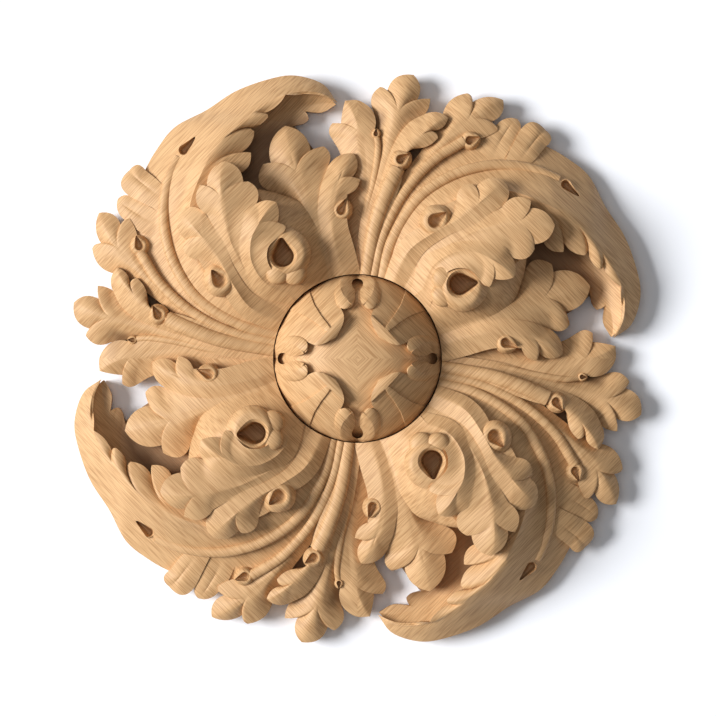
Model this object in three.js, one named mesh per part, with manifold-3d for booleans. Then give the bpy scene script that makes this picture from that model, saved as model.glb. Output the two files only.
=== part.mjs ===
// A carved wooden rosette: a ring of four swirling acanthus leaves, cut as one piece,
// with a round button of four folded petals set into the seat at its centre.
// Frame: millimetres, +Z up, origin at the middle of the flat back, which lies on Z = 0.
import * as THREE from "three";
import { mergeVertices } from "three/addons/utils/BufferGeometryUtils.js";
import Module from "manifold-3d";

const wasm = await Module();
wasm.setup();

// Driving dimensions, in millimetres
const LEAF_RADIUS = 140; // centre to the farthest edge of a leaf
const RELIEF_HEIGHT = 48; // back to the top of the button's petals
const BUTTON_RADIUS = 41;
const BUTTON_CLEARANCE = 0.5; // gap round the button, the dark line in the carving
const SEAT_HEIGHT = 9; // wood left under the button
const SEAT_CLEARANCE = 0.3; // glue line between the seat and the button
const UNDERCUT = 5; // how far an outer leaflet's foot stands back from its edge
const INNER_UNDERCUT = 0.4; // the same on a leaflet that stands within the leaf

// How finely the surfaces are faceted
const LEAFLET_COLUMNS = 3; // from a leaflet's spine to its edge
const SPINE_SAMPLES = 60;
const PIPE_ROWS = 9;
const PIPE_COLUMNS = 2;
const EYE_SIDES = 12;
const RING_FACETS = 8300; // the ring's surface is thinned to this many triangles
const BUTTON_FACETS = 1560;
const TURNED_SIDES = 36;
const FLOW_SHARE = 0.42; // rows on a long flowing edge, against those on a lobe of its length

// Points are marked out as [x, y, height]. x and y are hundredths of the leaf's radius,
// and 44 height marks reach from the back to the top of the button.
const LEAF_MARKS = 100;
const HEIGHT_MARKS = 44;
const LEAVES = 4;

// How a leaflet's ribs run: they set off along its spine and sweep out to its edge
const FULL_SWEEP = 0.42; // share of a rib's reach that it first keeps to the spine's direction
const SWEPT_BY = 0.35; // share of the leaflet's rows by which the ribs sweep fully
const ROUND = 1.5;
const CREASE = 0.1;
const LOBE_BULGE = 0.25; // how round a lobe's side is, as a share of its length
const MOST_UNDERCUT = 0.6; // of a rib's reach

// One leaf of the ring. A leaflet grows along its spine from the button to its tip.
// On each side its edge flows out from the root and then turns through lobes, given as
// the lobe's tip and the notch after it. A fourth number sets how round a lobe's side is.
// A valley runs in from each notch: its depth, and the share of the rib where it starts
// (crease). "round" sets how late the surface drops towards the edge.
const LEAFLETS = {
  hood: {
    rows: 24,
    undercut: UNDERCUT,
    valley: 1.2,
    spine: [
      [13, 25, 22], [19, 42, 26], [32, 55, 26.5], [50, 59, 27.5], [66, 54, 28.5], [78, 46.5, 26.4],
      [86.6, 37, 21.6], [91.8, 29, 18.4], [94.4, 21, 15.4],
    ],
    tip: [90.5, 7.3, 11],
    left: {
      crease: 0.84,
      round: 1.2,
      flow: [
        [5, 28, 19], [8.5, 44, 20], [15, 58, 19], [25, 69, 17.5], [36, 76.5, 15.5], [46, 81, 12],
        [50, 83.4, 9.5],
      ],
      lobes: [[56.4, 84.7, 7.5], [56.6, 80.6, 11.4], [68.6, 77.9, 7.5, 0.3], [67.2, 75.4, 11]],
      last: [
        [75, 71, 7.5], [82, 64.5, 7.5], [87.8, 53.5, 8.5], [94.5, 43, 9], [98.8, 31, 9.5],
        [100, 22, 9.5], [97, 12.3, 9.5],
      ],
    },
    right: {
      crease: 0.15,
      valley: 2.4,
      flow: [[19, 20, 23], [28, 34, 25], [42, 42, 25], [56, 43.5, 25.5], [64.6, 42.8, 25]],
      lobes: [
        [72.2, 37.4, 22.5, 0.22], [72.3, 41, 24, 0.05], [79.7, 36.2, 21.5, 0.14],
        [81.3, 39.8, 22.5, 0.1], [84.8, 31.4, 21.5, 0.16], [86.3, 32.6, 21.5], [92.7, 25.3, 19.6, 0.1],
        [93.2, 18.6, 17, 0.04],
      ],
      last: [[92.8, 13, 14.5]],
    },
  },
  hollow: {
    rows: 10,
    valley: 0.8,
    spine: [[48, 30, 9], [62, 36, 6.5], [75, 34, 7], [84, 28, 8.5], [88.5, 20, 9]],
    tip: [89.8, 7.6, 8],
    left: {
      flow: [[46, 38, 12], [62, 46, 13], [78, 45, 14], [90, 32, 15], [94.5, 20, 14]],
      lobes: [],
      last: [[94, 12, 12]],
    },
    right: {
      flow: [[50, 24, 8], [64, 25, 6], [76, 24, 6.5], [81.3, 24.6, 7.5], [82.7, 20.5, 8]],
      lobes: [[84.6, 17.3, 8, 0.12], [87.4, 18.6, 9, 0.1]],
      last: [[87, 12.6, 8.5]],
    },
  },
  outer_one: {
    rows: 14,
    undercut: UNDERCUT,
    valley: 1.2,
    spine: [[-2, 27, 19], [1, 48, 18], [3, 62, 16.5], [2.4, 73, 14], [0.6, 81, 13]],
    tip: [-4.4, 91.2, 8.5],
    left: {
      flow: [[-6, 27, 18], [-6, 48, 15], [-4.6, 62, 12], [-6, 72, 10.5], [-9.2, 78, 9]],
      lobes: [[-8.9, 83.2, 8, 0.2], [-5.9, 82.3, 10, 0.1]],
      last: 0.03,
    },
    right: {
      flow: [[2, 27, 19], [4.5, 48, 18.5], [7.6, 62, 17], [8, 72, 15], [5.6, 79.5, 12.5]],
      lobes: [],
      last: [[6.5, 83.5, 11.5], [5, 88, 10], [0.5, 91.2, 8.5]],
    },
  },
  outer_two: {
    rows: 16,
    undercut: UNDERCUT,
    valley: 1.6,
    spine: [[1, 27, 20], [4, 48, 20.5], [7.6, 64, 17.5], [11.6, 78, 14.5], [14.8, 88.5, 13.5]],
    tip: [19.8, 100.3, 8.5],
    left: {
      flow: [[-2, 27, 20], [1, 48, 19.5], [4.6, 64, 15], [7, 76, 11], [5.7, 87.5, 9]],
      lobes: [[8, 96.1, 7.5, 0.22], [10.2, 93.4, 9.5]],
      last: 0.24,
    },
    right: {
      flow: [[4, 27, 20], [8, 49, 20.5], [12, 66, 17.5], [17, 78, 13.5], [24, 86.5, 10.5]],
      lobes: [[25.7, 91.8, 9, 0.08], [20.8, 91, 11, 0.04]],
      last: 0.2,
    },
  },
  outer_three: {
    rows: 15,
    undercut: UNDERCUT,
    valley: 1.3,
    spine: [[3, 27, 21], [7.5, 48, 23], [12.4, 63, 22], [17.6, 73.5, 20.5], [23.4, 79.6, 19.5]],
    tip: [32, 84.7, 15.5],
    left: {
      flow: [[1, 27, 20], [4.6, 48, 21], [8.6, 64, 18], [13, 76, 15.5], [18, 83, 14], [24.2, 86.4, 13]],
      lobes: [],
      last: 0.16,
    },
    right: {
      flow: [[6, 27, 21], [10.6, 48, 22.5], [15.6, 63, 21], [15.8, 70, 20.5], [18.6, 74.3, 19.5]],
      lobes: [[28.3, 77.6, 18, 0.16], [25.6, 80.2, 18.5, 0.2]],
      last: 0.2,
    },
  },
  outer_four: {
    rows: 15,
    undercut: UNDERCUT,
    valley: 1.3,
    spine: [[5, 27, 21], [11, 49, 21.5], [19, 63, 19.5], [28, 74, 18], [35, 81, 16], [40.5, 85.5, 14.5]],
    tip: [51.5, 91.4, 8.5],
    left: {
      flow: [[3, 27, 20], [8, 49, 20], [15, 63, 17], [23, 74, 14.5], [29.8, 84, 11]],
      lobes: [[38.8, 93.8, 8.5, 0.2], [40.3, 90.4, 10.5]],
      last: 0.14,
    },
    right: {
      flow: [[7, 27, 21], [13.6, 49, 21.5], [22, 63, 18.5], [32, 72.6, 17.5], [38, 77.4, 17]],
      lobes: [[49.4, 80.4, 13, 0.1], [46.7, 83.4, 13.5, 0.2]],
      last: 0.22,
    },
  },
  swell: {
    rows: 12,
    valley: 0,
    spine: [[18, 20, 24], [28, 31, 31], [40, 40, 34.5], [50, 45, 35]],
    tip: [61, 47, 32],
    left: {
      flow: [[11, 27, 21], [18, 41, 26], [26, 50, 29], [36, 56, 30], [48, 57, 30]],
      lobes: [],
      last: 0.1,
    },
    right: {
      flow: [[25, 17, 24], [33, 23, 31], [43, 28, 34], [52, 33, 34], [59, 39, 32]],
      lobes: [],
      last: 0.05,
    },
  },
  fold_one: {
    rows: 16,
    valley: 1.5,
    spine: [[12, 25, 24], [17.5, 37, 30], [26, 43.5, 34], [35, 48.5, 35], [43, 54.6, 35.5]],
    tip: [51, 62.3, 29.5],
    left: {
      flow: [
        [9, 27, 22], [13.6, 39, 26], [21, 45.6, 30], [29, 46.5, 32], [33.4, 50.6, 32],
        [34.6, 56, 30.5],
      ],
      lobes: [[39.9, 61.1, 28, 0.22], [41.1, 59.5, 29]],
      last: 0.2,
    },
    right: {
      flow: [[17, 24, 24], [22.5, 36, 29.5], [31, 42.5, 33.6], [41, 46.8, 35.2], [50.4, 53, 34]],
      lobes: [],
      last: 0.24,
    },
  },
  fold_two: {
    rows: 17,
    valley: 1.5,
    spine: [[20, 24, 25.5], [27, 36, 32], [38, 43, 36], [48, 46, 38], [58, 47.6, 38.8]],
    tip: [68.7, 46.4, 34],
    left: {
      flow: [[15, 25, 23.6], [22, 37, 29], [32, 44, 33.6], [42, 48, 35.1], [50.2, 52.6, 34.2]],
      lobes: [[60.4, 54.9, 31, 0.24], [58.3, 52.3, 33, 0.04]],
      last: 0.2,
    },
    right: {
      flow: [[23, 20, 26], [31, 33, 33.5], [42, 39.4, 37.6], [50, 38.6, 38.2], [53.9, 35.2, 36]],
      lobes: [[61.7, 38.1, 32, 0.24], [60, 39.9, 33.5, 0.1]],
      last: 0.22,
    },
  },
  fold_three: {
    rows: 16,
    valley: 1.2,
    spine: [[22, 20, 27], [25.5, 31, 33], [33, 36.6, 37.5], [41, 37, 40], [47.5, 34, 41]],
    tip: [54.3, 28.2, 37.5],
    left: {
      flow: [
        [18, 21, 25], [22, 34, 29.3], [31, 40.2, 33], [42, 41.8, 36.6], [50.4, 39.4, 37.6],
        [53.8, 35.2, 36.2],
      ],
      lobes: [],
      last: 0.14,
    },
    right: {
      flow: [[25, 17, 27], [28.6, 27, 34.5], [33, 31, 38], [38.6, 31, 39.4], [43, 26.8, 38]],
      lobes: [[45.9, 25, 35, 0.14], [46.9, 28, 37, 0.16]],
      last: 0.1,
    },
  },
  shoulder: {
    rows: 9,
    valley: 0,
    spine: [[24, 16, 26], [33, 20, 33], [43, 24, 35], [50, 29, 33.5]],
    tip: [59.2, 36.8, 27],
    left: {
      flow: [[20, 22, 27], [30, 30, 34], [42, 34, 35], [50, 36, 33]],
      lobes: [],
      last: 0.08,
    },
    right: {
      flow: [[27, 9, 22], [38, 11.6, 23.5], [48, 14.6, 23.5], [55, 20.6, 22.5], [58, 28, 22]],
      lobes: [],
      last: 0.04,
    },
  },
  inner_one: {
    rows: 17,
    undercut: UNDERCUT,
    valley: 1.6,
    spine: [[25, 11, 23], [38, 14, 24.5], [50, 17, 24], [60, 20, 21.5], [68, 22.4, 19.5]],
    tip: [82, 25.5, 12],
    left: {
      flow: [[25, 14, 23], [38, 18, 24], [49, 21, 22.5], [55.6, 23.4, 18.5], [58.4, 29, 16.5]],
      lobes: [[68.4, 33.2, 14, 0.34], [67.5, 30, 15.5, 0.12]],
      last: 0.2,
    },
    right: {
      flow: [[26, 7, 21], [38, 11, 23.8], [50, 13.4, 24], [60, 12.8, 20.8], [68.8, 10, 13.5]],
      lobes: [[74.8, 11.9, 9.5, 0.2], [71.8, 16.4, 12, 0.16]],
      last: 0.2,
    },
  },
  inner_two: {
    rows: 15,
    undercut: UNDERCUT,
    valley: 1.1,
    spine: [[25, 3, 21], [36, 7, 24.6], [47, 9, 25.8], [57, 8.4, 24.2], [64, 6, 21.2]],
    tip: [72.2, 1.3, 13.5],
    left: {
      flow: [[26, 9, 20.5], [38, 12.4, 23.6], [50, 14, 24], [60, 13, 21.4], [67.6, 10.4, 16.5]],
      lobes: [],
      last: 0.16,
    },
    right: {
      flow: [[26, -2, 20], [37, 0.6, 22], [47, 3.4, 24], [53, 3.6, 23.5], [57.6, 3.6, 23]],
      lobes: [[63, -0.9, 19.5, 0.16], [63.7, 2, 19.5, 0.06]],
      last: 0.2,
    },
  },
};

// Round pipes that run from an eye back to the button, with their width at root and eye
const PIPES = {
  pipe_one: {
    path: [[-0.5, 27, 20], [2.6, 48, 20], [5.8, 63, 17.8], [7.2, 73, 15.6], [6.8, 78, 13.6]],
    width: [1.5, 1.1],
  },
  pipe_two: {
    path: [[2.5, 27, 22], [6, 46, 24.5], [10, 58, 24.5], [14, 67, 22.5]],
    width: [2.2, 2.8],
  },
  pipe_three: {
    path: [[5.4, 27, 22], [9, 43, 23.5], [16, 57.6, 22.5], [26, 69.2, 20.5], [37.6, 76.6, 18.6]],
    width: [1.5, 1.9],
  },
  pipe_four: {
    path: [
      [8.4, 27, 22], [12, 41, 24.2], [20.4, 55.2, 24.2], [31, 63.2, 23.2], [42, 67.2, 21.8],
      [52, 68.1, 20.2], [62, 66.6, 18.8], [71, 63, 17],
    ],
    width: [2.1, 1.7],
  },
};

// Eyes: a drilled tear shape, with its round end, radius, point, floor and rim
const EYES = {
  eye_one: { at: [6.5, 79.2], radius: 0.75, point: [6.6, 81.2], floor: 6, rim: 1.2, rimHeight: 13.8 },
  eye_two: { at: [15.3, 69.9], radius: 1.5, point: [18.6, 72], floor: 9, rim: 2.2, rimHeight: 21.6 },
  eye_three: { at: [39.6, 76.7], radius: 1.4, point: [43.4, 78], floor: 7, rim: 2.2, rimHeight: 18.3 },
  eye_four: { at: [73.4, 60.6], radius: 1, point: [79, 55], floor: 8, rim: 0.8, rimHeight: 16.6 },
  eye_five: { at: [27.2, 48], radius: 2.3, point: [31, 51], floor: 20, rim: 3.4, rimHeight: 34.4 },
  eye_six: { at: [35.8, 26], radius: 4, point: [42.2, 26.6], floor: 15, rim: 4.2, rimHeight: 39.4 },
  eye_seven: { at: [52, 5.5], radius: 1.6, point: [56.6, 3.7], floor: 11, rim: 2.2, rimHeight: 25.6 },
};

// How a rim rounds its eye: [share of the rim's width, drop below its top], foot first
const RIM_SECTION = [[0.9, null], [1, 2.4], [0.62, 0.5], [0.22, 0]];
const RIM_REACH = 1.12; // how far the rim's point stands out, against its radius
const POINT_PINCH = 0.4;
const POCKET_TAPER = -0.35; // how a pocket narrows to its floor, against its radius
const POCKET_FLARE = 0.2; // and how it widens above its rim
const POCKET_CLEAR = 12; // marks that a pocket is cut on above its rim

// The collar of two small lobes behind the big eye, each a low round mound
const COLLAR_SECTION = [[0.95, null], [1, 3], [0.75, 1], [0.35, 0]];
const COLLAR_LOBES = [
  { at: [30.8, 27.6], radius: 3.9, height: 37.4 },
  { at: [30, 22.6], radius: 3.9, height: 36.8 },
];

// The web that joins the leaflets below their notches: its outline round one leaf, and
// its height as [share of the outline, height]
const WEB = [
  [-5, 72], [0, 82], [6, 84], [12, 88], [22, 84], [30, 84.5], [38, 86], [47, 82], [58, 78],
  [70, 67], [80, 54], [86, 38], [84, 25], [76, 17], [66, 10],
];
const WEB_PROFILE = [[0.95, 0], [1, 6], [0.92, 7.5], [0.78, 9.5], [0.62, 13.5], [0.3, 19]];

// The button has marks of its own. It is a turned dome, less an opening that leaves four
// petals of it, over a turned field. Profiles are [radius, height].
const BUTTON_MARKS = 29.3;
const DOME = [
  [0, 44.7], [10, 44.3], [12, 43.6], [15, 41.7], [18, 38.9], [21, 35.6], [24.5, 31.3],
  [27, 27.4], [28.6, 24.1], [29.3, 21.1],
];
const FIELD_PROFILE = [
  [0, 41.1], [6, 40.7], [12, 39.1], [17, 35.9], [21, 32.1], [24, 27.1], [26, 21.1], [28, 14],
];

// The opening, from the end of a slot to the middle of a petal's lip, with a notch between.
// It is mirrored about the petal's middle line, at 45 degrees, and repeated for each petal.
const OPENING = [
  [0, 28.1], [1.3, 27.7], [2, 26.5], [1.6, 25], [1, 24], [0.9, 21.4], [1.5, 18.9], [3.2, 17.6],
  [5.9, 17.6], [4.9, 15.8], [4.7, 13.6], [5.3, 11.4], [6.5, 9], [7.4, 7.4],
];
const BASE_LEFT = 1; // wood left whole under the opening, in millimetres
const PETALS = 4;

// A petal's raised lip and the vein behind it, as [place on its middle line, half width]
const VEIN_RISE = 1.5;
const VEIN = [[8, 9], [14.1, 9], [14.2, 0.8], [16, 1.2], [19.4, 1.6], [24, 2.7], [29.8, 5.4]];
const LEDGE_SECTION = [[-1, null], [-1, 0.6], [-0.6, 1], [0, 1], [0.6, 1], [1, 0.6], [1, null]];
const LEDGE_DEPTH = 2; // marks that a ledge reaches below the foot of the dome

// A lip rolls down into the opening, and has dropped by LIP_DROP over LIP_WIDTH
const LIP_PLACES = [14.1, 12.2, 10.4, 8.6, 7];
const LIP_CLEAR = [14.4, 0.5]; // where the cut over a lip ends, and its height above the lip
const LIP_SKIM = 0.05; // marks taken off where a lip starts
const LIP_HALF = 9.5;
const LIP_WIDTH = 3.9;
const LIP_DROP = 4.6;
const LIP_ROLL = 1.2;

// The ears beside each slot, as [place along the slot, half width], slope down to the slot
const EAR_RISE = 0.9;
const EAR_DROP = 3.2;
const EAR_ROLL = 1.3;
const EAR_LEDGE = 0.92; // share of the half width where the slope starts
const EARS = [[18.4, 1], [19.6, 3.3], [21.7, 5], [24.4, 6.3], [26.8, 6.6], [28.6, 5.2], [29.4, 4]];

const CUT_TOP = 60; // marks, above everything that is cut

const leafScale = LEAF_RADIUS / LEAF_MARKS;
const heightScale = RELIEF_HEIGHT / HEIGHT_MARKS;
const buttonScale = BUTTON_RADIUS / BUTTON_MARKS;

const mark = ([x, y, z], scale) => new THREE.Vector3(x * scale, y * scale, z * heightScale);
const clamp01 = (t) => THREE.MathUtils.clamp(t, 0, 1);
const curveThrough = (points) => new THREE.CatmullRomCurve3(points, false, "catmullrom");
const smooth = (points, scale) => curveThrough(points.map((p) => mark(p, scale)));

// A closed solid from a list of points and triangles
function solid(points, triangles) {
  const vertProperties = new Float32Array(points.flatMap((p) => [p.x, p.y, p.z]));
  const made = new wasm.Manifold(
    new wasm.Mesh({ numProp: 3, vertProperties, triVerts: new Uint32Array(triangles) })
  );
  return made.volume() < 0 ? solid(points, [...triangles].reverse()) : made;
}

// A closed three.js geometry as a solid
function solidOf(geometry) {
  geometry.deleteAttribute("normal");
  geometry.deleteAttribute("uv");
  const merged = mergeVertices(geometry, 1e-4);
  const vertProperties = merged.attributes.position.array;
  const points = [];
  for (let i = 0; i < vertProperties.length; i += 3) {
    points.push(new THREE.Vector3().fromArray(vertProperties, i));
  }
  return solid(points, Array.from(merged.index.array));
}

// A slab under a grid of points, standing on the left and right feet of each row.
// Where it is folded, its last row is one line.
function slab(top, feet, folded) {
  const rows = top.length;
  const width = top[0].length;
  const points = [];
  const add = (p) => points.push(p) - 1;
  const upper = top.map((row, i) => {
    const made = [];
    const onTip = (j) => folded && i === rows - 1 && j > (width - 1) / 2;
    row.forEach((p, j) => made.push(onTip(j) ? made[width - 1 - j] : add(p)));
    return made;
  });
  const lower = feet.map((pair, i) => {
    const first = add(pair[0]);
    return [first, folded && i === rows - 1 ? first : add(pair[1])];
  });
  const triangles = [];
  const triangle = (a, b, c) => {
    if (a !== b && b !== c && c !== a) triangles.push(a, b, c);
  };
  const quad = (a, b, c, d) => {
    triangle(a, b, c);
    triangle(a, c, d);
  };
  const last = width - 1;
  for (let i = 0; i + 1 < rows; i++) {
    for (let j = 0; j < last; j++) quad(upper[i][j], upper[i][j + 1], upper[i + 1][j + 1], upper[i + 1][j]);
    quad(lower[i][0], lower[i + 1][0], lower[i + 1][1], lower[i][1]);
    quad(upper[i][0], upper[i + 1][0], lower[i + 1][0], lower[i][0]);
    quad(upper[i + 1][last], upper[i][last], lower[i][1], lower[i + 1][1]);
  }
  const end = (high, low) => {
    for (let j = 0; j < last; j++) triangle(low[0], high[j + 1], high[j]);
    triangle(low[0], low[1], high[last]);
  };
  end(upper[0], lower[0]);
  if (!folded) end([...upper[rows - 1]].reverse(), [...lower[rows - 1]].reverse());
  return solid(points, triangles);
}

// The edge of a leaflet on one side, as runs from corner to corner
function edgeRuns(side, tip, scale, outward) {
  const lobed = side.lobes.length ? 1 : 0;
  const through = (points) => points.map((p) => mark(p, scale));
  const runs = [{ through: through(side.flow), deep: [0, lobed] }];
  let from = side.flow.at(-1);
  side.lobes.forEach((corner, k) => {
    const deep = k % 2 === 0 ? [1, 0] : [0, 1];
    runs.push({ through: through([from, corner]), bulge: outward * (corner[3] ?? LOBE_BULGE), deep });
    from = corner;
  });
  const deep = [lobed, 0];
  if (Array.isArray(side.last)) runs.push({ through: through([from, ...side.last, tip]), deep });
  else runs.push({ through: through([from, tip]), bulge: outward * side.last, deep });
  return runs.map((run) => ({ ...run, curve: curveThrough(run.through) }));
}

// Points along the runs, one for each row, with a corner on a row of its own
function edgeRows(runs, rows) {
  const lengths = runs.map((run) => run.curve.getLength() * (run.bulge === undefined ? FLOW_SHARE : 1));
  const total = lengths.reduce((sum, length) => sum + length, 0);
  const ends = [];
  let sum = 0;
  lengths.forEach((length, k) => {
    sum += length;
    const least = (ends.at(-1) ?? 0) + 2;
    const most = rows - 2 * (runs.length - 1 - k);
    ends.push(Math.min(most, Math.max(least, Math.round((rows * sum) / total))));
  });
  ends[ends.length - 1] = rows;
  const made = [{ point: runs[0].through[0].clone(), notch: 0 }];
  runs.forEach((run, k) => {
    const start = k ? ends[k - 1] : 0;
    const steps = ends[k] - start;
    for (let s = 1; s <= steps; s++) {
      const f = s / steps;
      const point = run.curve.getPointAt(f);
      if (run.bulge !== undefined) {
        const [a, b] = run.through;
        const push = run.bulge * 4 * f * (1 - f);
        point.x -= (b.y - a.y) * push;
        point.y += (b.x - a.x) * push;
      }
      const [from, to] = run.deep;
      const quarter = (Math.PI / 2) * f;
      let notch = 0;
      if (from > to) notch = 1 - Math.sin(quarter);
      if (to > from) notch = 1 - Math.cos(quarter);
      made.push({ point, notch: k === 0 ? notch ** 4 : notch });
    }
  });
  return made;
}

// Where each row leaves the spine: beside its edge points, and always onwards
function stations(spine, left, right) {
  const samples = spine.getSpacedPoints(SPINE_SAMPLES);
  const nearest = (p) => {
    const away = samples.map((s) => Math.hypot(s.x - p.x, s.y - p.y));
    return away.indexOf(Math.min(...away)) / SPINE_SAMPLES;
  };
  const rows = left.length - 1;
  const least = 0.25 / rows;
  const found = [0];
  for (let i = 1; i <= rows; i++) {
    const beside = (nearest(left[i].point) + nearest(right[i].point)) / 2;
    found.push(Math.max(found[i - 1] + least, beside * 0.96));
  }
  return found.map((t) => t / found[rows]);
}

// A leaflet: curved ribs leave its spine and end on its lobed edge
function leaflet(form, scale = leafScale) {
  const spine = smooth(form.spine, scale);
  const left = edgeRows(edgeRuns(form.left, form.tip, scale, 1), form.rows);
  const right = edgeRows(edgeRuns(form.right, form.tip, scale, -1), form.rows);
  const leaves = stations(spine, left, right);
  const top = [];
  const feet = [];
  for (let i = 0; i <= form.rows; i++) {
    const start = spine.getPointAt(clamp01(leaves[i]));
    const onward = spine.getTangentAt(clamp01(leaves[i]));
    const sweep = FULL_SWEEP * THREE.MathUtils.smoothstep(i / form.rows, 0, SWEPT_BY);
    const reachOf = (edge) => Math.hypot(edge.point.x - start.x, edge.point.y - start.y);
    const rib = (edge, side, share) => {
      const halfway = edge.point.clone().sub(start).multiplyScalar((1 - sweep) / 2);
      const control = start.clone().addScaledVector(onward, reachOf(edge) * sweep).add(halfway);
      const p = start.clone().multiplyScalar((1 - share) ** 2);
      p.addScaledVector(control, 2 * share * (1 - share)).addScaledVector(edge.point, share ** 2);
      p.z = start.z + (edge.point.z - start.z) * share ** (side.round ?? ROUND);
      const depth = (side.valley ?? form.valley) * heightScale * edge.notch;
      p.z -= depth * THREE.MathUtils.smoothstep(share, side.crease ?? CREASE, 1);
      return p;
    };
    const ribs = [];
    for (let j = -LEAFLET_COLUMNS; j <= LEAFLET_COLUMNS; j++) {
      const [edge, side] = j < 0 ? [left[i], form.left] : [right[i], form.right];
      ribs.push(rib(edge, side, Math.abs(j) / LEAFLET_COLUMNS));
    }
    top.push(ribs);
    const footOf = (edge, side) => {
      const back = (form.undercut ?? INNER_UNDERCUT) / Math.max(reachOf(edge), 1);
      return rib(edge, side, i ? 1 - Math.min(back, MOST_UNDERCUT) : 1).setZ(0);
    };
    feet.push([footOf(left[i], form.left), footOf(right[i], form.right)]);
  }
  return slab(top, feet, true);
}

// A round pipe along a path, as wide as its two widths say
function pipe(form, scale = leafScale) {
  const path = smooth(form.path, scale);
  const top = [];
  const feet = [];
  for (let i = 0; i <= PIPE_ROWS; i++) {
    const at = path.getPointAt(i / PIPE_ROWS);
    const onward = path.getTangentAt(i / PIPE_ROWS);
    const across = new THREE.Vector3(-onward.y, onward.x, 0).normalize();
    const half = THREE.MathUtils.lerp(form.width[0], form.width[1], i / PIPE_ROWS) * scale;
    const section = [];
    for (let j = -PIPE_COLUMNS; j <= PIPE_COLUMNS; j++) {
      const angle = (Math.PI / 2) * (j / PIPE_COLUMNS);
      const p = at.clone().addScaledVector(across, -Math.sin(angle) * half);
      section.push(p.setZ(at.z - half * 0.8 * (1 - Math.cos(angle))));
    }
    top.push(section);
    feet.push([half, -half].map((aside) => at.clone().addScaledVector(across, aside).setZ(0)));
  }
  return slab(top, feet, false);
}

// A closed solid through rings of points, with its ends closed
function lofted(rings) {
  const sides = rings[0].length;
  const points = [];
  const ids = rings.map((ring) => ring.map((p) => points.push(p) - 1));
  const centre = (ring) => {
    const sum = new THREE.Vector3();
    ring.forEach((p) => sum.add(p));
    return points.push(sum.divideScalar(sides)) - 1;
  };
  const low = centre(rings[0]);
  const high = centre(rings.at(-1));
  const triangles = [];
  for (let k = 0; k < sides; k++) {
    const next = (k + 1) % sides;
    triangles.push(low, ids[0][next], ids[0][k]);
    triangles.push(high, ids.at(-1)[k], ids.at(-1)[next]);
    for (let r = 0; r + 1 < ids.length; r++) {
      triangles.push(ids[r][k], ids[r][next], ids[r + 1][next]);
      triangles.push(ids[r][k], ids[r + 1][next], ids[r + 1][k]);
    }
  }
  return solid(points, triangles);
}

// The same, where each ring is a function of the angle
const ringed = (rings, sides) =>
  lofted(rings.map((ring) => Array.from({ length: sides }, (_, k) => ring((2 * Math.PI * k) / sides))));

// The outline of an eye: round at one end and drawn out to a point at the other. The more
// it is grown, up to the eye's rim, the rounder it is.
function tear(eye, grow, height) {
  const at = mark([...eye.at, 0], leafScale);
  const axis = mark([...eye.point, 0], leafScale).sub(at);
  const radius = eye.radius * leafScale + grow;
  const drawn = clamp01(1 - Math.max(0, grow) / (eye.rim * leafScale));
  const reach = THREE.MathUtils.lerp(radius * RIM_REACH, axis.length(), drawn);
  axis.normalize();
  return (angle) => {
    const c = Math.max(0, Math.cos(angle));
    const ahead = radius * Math.cos(angle) + (reach - radius) * c ** 3;
    const aside = radius * Math.sin(angle) * (1 - POINT_PINCH * drawn * c ** 2);
    const x = at.x + axis.x * ahead - axis.y * aside;
    const y = at.y + axis.y * ahead + axis.x * aside;
    return new THREE.Vector3(x, y, height * heightScale);
  };
}

function eyeRim(eye) {
  const rim = eye.rim * leafScale;
  const level = ([share, drop]) => tear(eye, rim * share, drop === null ? 0 : eye.rimHeight - drop);
  return ringed(RIM_SECTION.map(level), EYE_SIDES);
}

function eyePocket(eye) {
  const radius = eye.radius * leafScale;
  const level = ([share, height]) => tear(eye, radius * share, height);
  const levels = [
    [POCKET_TAPER, eye.floor],
    [0, eye.rimHeight - 1],
    [POCKET_FLARE, eye.rimHeight + POCKET_CLEAR],
  ];
  return ringed(levels.map(level), EYE_SIDES);
}

// A lobe of the collar: a low round mound
function mound({ at, radius, height }) {
  const level = ([share, drop]) => (angle) => {
    const [x, y] = [Math.cos(angle) * radius * share, Math.sin(angle) * radius * share];
    return mark([at[0] + x, at[1] + y, drop === null ? 0 : height - drop], leafScale);
  };
  return ringed(COLLAR_SECTION.map(level), EYE_SIDES);
}

// A turned solid from a profile of [radius, height], standing on a flat foot
function turned(profile, scale, foot) {
  const outline = profile.map(([r, z]) => new THREE.Vector2(r * scale, z * heightScale)).reverse();
  outline.unshift(new THREE.Vector2(outline[0].x, foot));
  const ring = (p) => (angle) => new THREE.Vector3(p.x * Math.cos(angle), p.x * Math.sin(angle), p.y);
  return ringed(outline.filter((p) => p.x > 0).map(ring), TURNED_SIDES);
}

function cylinder(radius, from, to) {
  const level = (z) => (angle) => new THREE.Vector3(radius * Math.cos(angle), radius * Math.sin(angle), z);
  return ringed([from, to].map(level), TURNED_SIDES);
}

// A place turned about the centre
const turnedBy = ([x, y], angle) => [
  x * Math.cos(angle) - y * Math.sin(angle),
  x * Math.sin(angle) + y * Math.cos(angle),
];

// The same solid turned about the centre
function spun(made, angle) {
  const mesh = made.getMesh();
  const matrix = new THREE.Matrix4().makeRotationZ(angle);
  const points = [];
  for (let i = 0; i < mesh.numVert; i++) {
    points.push(new THREE.Vector3().fromArray(mesh.vertProperties, i * mesh.numProp).applyMatrix4(matrix));
  }
  return solid(points, Array.from(mesh.triVerts));
}

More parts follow.
